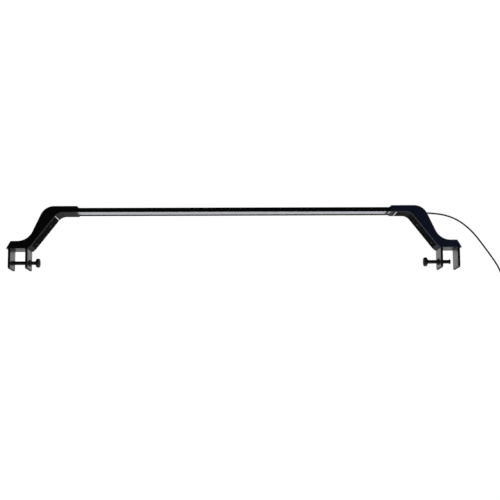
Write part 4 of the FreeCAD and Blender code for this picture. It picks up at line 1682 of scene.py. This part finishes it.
@dataclass
class Arm:
    """One hollow arm with its cover, seal, grip, clamp bracket, insert and screws.

    Places along the arm are (u, z): u is 0 at the clamp's seat and grows towards the lamp's
    middle. slope is the neck's angle in degrees, facet_top is where the neck's underside starts,
    and cover_screws are distances up from there.
    """

    side: Side
    slope: float = 52.0
    facet_top: Span = (24.4 * MM, 4.4 * MM)
    cover_screws: Span = (9.0 * MM, 50.03 * MM)
    bracket_screw_y: float = 15.0 * MM
    head: float = 2.5 * MM
    shank: float = 1.25 * MM
    ribs: int = 9

    def seat(self) -> float:
        """The X of the clamp's seat."""
        low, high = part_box(self.side.node("clamp_bracket"))
        return (low.x + high.x) / 2

    def spot(self, u: float, y: float, z: float) -> Vector:
        """A point of the arm in the lamp's frame."""
        return Vector((self.seat() + self.side.inward * u, y, z))

    def shell(self) -> None:
        """The moulded shell, its cover plate and the pale seal at the plate's end."""
        # The right arm's finish carries painted sheen: a navy tone in all its colours.
        finish = SHELL_LEFT if self.side is Side.LEFT else SHELL_RIGHT_PAINTED_SHEEN
        for stem, name, made_of, slot, edge in (
                ("arm_shell", "arm_moulding", finish, "arm_plastic", 0.3 * MM),
                ("arm_cover", "arm_cover_plate", COVER_PLASTIC, "cover_plastic", 0.2 * MM),
                ("cover_seal", "cover_seal_strip", SEAL_SILICONE, "seal_silicone", 0.2 * MM)):
            copy_of(self.side.node(stem), self.side.node(name), made_of, self.side.arm, slot, edge)

    def screw_unit(self, length: float) -> Piece:
        """A countersunk screw with a cross recess, its head's face at the origin, facing +Z.

        Args:
            length: The screw's length.

        Returns:
            The unit, to be repeated.
        """
        head_depth, pitch, thread = 1.2 * MM, 0.8 * MM, 0.3 * MM
        profile = [(0.0, 0.0), (0.0, self.head - 0.05 * MM), (0.12 * MM, self.head - 0.1 * MM),
                   (head_depth, self.shank), (head_depth + 0.4 * MM, self.shank)]
        turns = int((length - head_depth - 2 * pitch) / pitch)
        for k in range(turns):
            along = head_depth + 0.6 * MM + pitch * k
            profile += [(along, self.shank - thread), (along + thread, self.shank - 0.02 * MM),
                        (along + 0.6 * MM, self.shank - thread)]
        profile += [(length - 0.5 * MM, self.shank - 0.5 * MM), (length, 0.0)]
        axis = Axis(Vector((0, 0, 0)), Vector((0, 0, -1)))
        unit = make_piece("screw_unit", turned(axis, profile, 24), SCREW_STEEL)
        slot_low, slot_high = Vector((-1.3, -0.3, -0.7)) * MM, Vector((1.3, 0.3, 0.3)) * MM
        for turned_by in (0.0, math.pi / 2):
            shape = block(slot_low, slot_high)
            shape.transform(Matrix.Rotation(turned_by, 4, "Z"))
            unit = cut_from(unit, make_piece("recess", shape, SCREW_STEEL))
        return soften(unit, 0.0)

    def screws(self) -> None:
        """The cover's and the bracket's screws."""
        angle = math.radians(self.slope)
        top = self.spot(self.facet_top[0], 0, self.facet_top[1])
        along = Vector((self.side.inward * math.cos(angle), 0, math.sin(angle)))
        facing = Vector((self.side.inward * math.sin(angle), 0, -math.cos(angle)))
        low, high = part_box(self.side.node("bracket_screws"))
        under = [self.spot(0, y, low.z) for y in (-self.bracket_screw_y, self.bracket_screw_y)]
        for stem, name, points, way, length in (
                ("cover_screws", "cover_fixings", [top + along * s for s in self.cover_screws],
                 facing, 9.0 * MM),
                ("bracket_screws", "bracket_fixings", under, Vector((0, 0, -1)), high.z - low.z)):
            unit = self.screw_unit(length)
            piece = grown(self.side.node(name), facing_tree(), SCREW_STEEL, points, Unit=unit,
                          Facing=tuple(way))
            settle(soften(piece, 0.0), self.side.arm, "screw_steel", self.side.node(stem))
            bpy.data.objects.remove(unit)

    def grip(self) -> None:
        """The rubber grip in the sleeve's ceiling, ribbed where it rubs on the bar."""
        low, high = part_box(self.side.node("sleeve_grip"))
        rib_height = 0.4 * MM
        base = make_piece("grip_base", block(low + Vector((0, 0, rib_height)), high), PAD_RUBBER,
                          0.3 * MM)
        pitch = (high.x - low.x) / self.ribs
        half = (high.y - low.y) / 2
        unit = make_piece("rib_unit", block(Vector((-0.3 * pitch, -half, -rib_height / 2)),
                                            Vector((0.3 * pitch, half, rib_height / 2 + 0.1 * MM))),
                          PAD_RUBBER, 0.15 * MM)
        middle = Vector(((low.x + high.x) / 2, 0, low.z + rib_height / 2))
        ribs = rows("grip_ribs", unit, PAD_RUBBER, self.ribs, 1, pitch, 0.0, middle)
        bpy.data.objects.remove(unit)
        piece = merge(self.side.node("grip_ribbed"), [base, ribs])
        settle(soften(piece, 0.0), self.side.arm, "pad_rubber", self.side.node("sleeve_grip"))

    def clamp(self) -> None:
        """The U bracket and the threaded insert with its notched collar."""
        copy_of(self.side.node("clamp_bracket"), self.side.node("clamp_frame"), CLAMP_PLASTIC,
                self.side.arm, "clamp_plastic", 0.35 * MM)
        low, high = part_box(self.side.node("thread_insert"))
        radius = (high.z - low.z) / 2
        axis, span = self.side.axis("thread_insert")
        leg, bore, barrel, slant = 4.3 * MM, 3.56 * MM, 4.6 * MM, 1.4 * MM
        count, notch = 12, 0.3 * MM
        ring = [(0.0, bore), (0.0, barrel), (leg, barrel), (leg, radius), (span - slant, radius),
                (span, radius - slant), (span, bore)]

        def notches(along: float, angle: float, plain: float) -> float:
            """Shallow notches round the collar.

            Args:
                along: Distance along the axis.
                angle: Angle round it.
                plain: The profile's radius.

            Returns:
                The radius there.
            """
            if along < leg or plain < radius - 0.5 * MM:
                return plain
            return plain - notch * max(0.0, math.cos(count * angle)) ** 4

        shape = turned(axis, eased(ring, 0.25 * MM, 3, closed=True), 96, notches, closed=True)
        settle(make_piece(self.side.node("insert_collar"), shape, INSERT_PLASTIC), self.side.arm,
               "insert_plastic", self.side.node("thread_insert"))

    def build(self) -> None:
        """Make every piece of the arm."""
        self.shell()
        self.screws()
        self.grip()
        self.clamp()


@dataclass
class ThumbScrew:
    """One thumb screw: a threaded rod in a fluted knob, and the pad that it turns in."""

    side: Side
    pitch: float = 1.5 * MM
    thread: float = 0.45 * MM
    flutes: int = 12
    flute: float = 0.75 * MM
    pad_rings: int = 3

    def rod(self) -> None:
        """The rod, with a real helical thread."""
        axis, span = self.side.axis("screw_rod")
        outer, tip_radius, tip, start = 3.5 * MM, 2.0 * MM, 1.8 * MM, 0.15 * MM
        per_turn = 8
        profile = [(0.0, 0.0), (0.0, tip_radius - 0.2 * MM), (0.2 * MM, tip_radius),
                   (tip, tip_radius), (tip, outer - 0.9 * MM)]
        threaded = span - tip - 2 * start
        count = round(threaded / self.pitch * per_turn)
        step = threaded / count
        profile += [(tip + start + step * i, outer) for i in range(count + 1)]
        profile += [(span, outer - self.thread), (span, 0.0)]

        def helix(along: float, angle: float, plain: float) -> float:
            """A rounded V thread that fades in over its first turn.

            Args:
                along: Distance along the axis.
                angle: Angle round it.
                plain: The profile's radius.

            Returns:
                The radius there.
            """
            if along <= tip or plain < outer - 0.1 * MM:
                return plain
            phase = (along / self.pitch - angle / (2 * math.pi)) % 1.0
            crest = min(1.0, 1.6 * abs(2 * phase - 1))
            lead_in = min(1.0, (along - tip) / self.pitch)
            return plain - self.thread * (1 - crest) - self.thread * (1 - lead_in)

        shape = turned(axis, profile, 32, helix)
        settle(make_piece(self.side.node("rod_threaded"), shape, ROD_PLASTIC, sharp=60.0),
               self.side.screw, "rod_plastic", self.side.node("screw_rod"))

    def knob(self) -> None:
        """The knob: a flared neck, a fluted rim and a dished end."""
        axis, span = self.side.axis("screw_knob")
        neck, outer, bore, flare, dome = 4.4 * MM, 8.3 * MM, 3.52 * MM, 2.0 * MM, 1.4 * MM
        ring = [(0.0, bore), (0.0, neck), (flare, outer - 0.2 * MM), (flare + 0.6 * MM, outer),
                (span - dome, outer), (span - 0.3 * MM, outer - dome),
                (span, outer - 2.6 * MM), (span - 0.9 * MM, outer - 3.6 * MM)]
        line = eased(ring, 0.5 * MM, 4) + [(span - 1.0 * MM, 2.0 * MM), (span - 1.0 * MM, 0.0)]
        filled = []
        for (a, r), (b, s) in zip(line, line[1:]):
            parts = max(1, round((b - a) / (0.6 * MM)))
            filled += [(a + (b - a) * k / parts, r + (s - r) * k / parts) for k in range(parts)]
        filled.append(line[-1])
        floor = 5.0 * MM
        closed = [(floor, 0.0), (floor, bore)] + filled

        def fluted(along: float, angle: float, plain: float) -> float:
            """Rounded finger flutes, deepest at the rim.

            Args:
                along: Distance along the axis.
                angle: Angle round it.
                plain: The profile's radius.

            Returns:
                The radius there.
            """
            share = max(0.0, min(1.0, (plain - neck - 0.6 * MM) / (outer - neck - 0.6 * MM)))
            wave = max(0.0, math.cos(self.flutes * angle))
            return plain - self.flute * share * wave ** 1.5

        settle(make_piece(self.side.node("knob_fluted"), turned(axis, closed, 144, fluted),
                          KNOB_PLASTIC, sharp=50.0),
               self.side.screw, "knob_plastic", self.side.node("screw_knob"))

    def pad(self) -> None:
        """The pad, with rings on the face that presses on the glass."""
        axis, span = self.side.axis("screw_pad")
        radius, socket, depth = 4.2 * MM, 2.05 * MM, 1.85 * MM
        raised = 0.25 * MM
        face = [(raised, 0.0)]
        for k in range(self.pad_rings):
            inner = (0.5 + 1.15 * k) * MM
            face += [(raised, inner), (0.0, inner + 0.2 * MM), (0.0, inner + 0.65 * MM),
                     (raised, inner + 0.85 * MM)]
        rim = eased([(raised, inner + 0.95 * MM), (raised, radius), (span, radius),
                     (span, socket + 0.2 * MM)], 0.4 * MM, 4)
        back = [(span - 0.2 * MM, socket), (span - depth, socket), (span - depth, 0.0)]
        settle(make_piece(self.side.node("pad_ringed"), turned(axis, face + rim + back, 56),
                          PAD_RUBBER), self.side.pad, "pad_rubber", self.side.node("screw_pad"))

    def build(self) -> None:
        """Make every piece of the thumb screw."""
        self.rod()
        self.knob()
        self.pad()


def main() -> None:
    """Build the lamp round its frame."""
    logging.basicConfig(level=logging.INFO, format="%(message)s", stream=sys.stdout)
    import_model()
    studio = Studio()
    studio.camera()
    Lead().build()
    LightBar().build()
    for side in Side:
        Arm(side).build()
        ThumbScrew(side).build()
    studio.build()


if __name__ == "__main__":
    main()
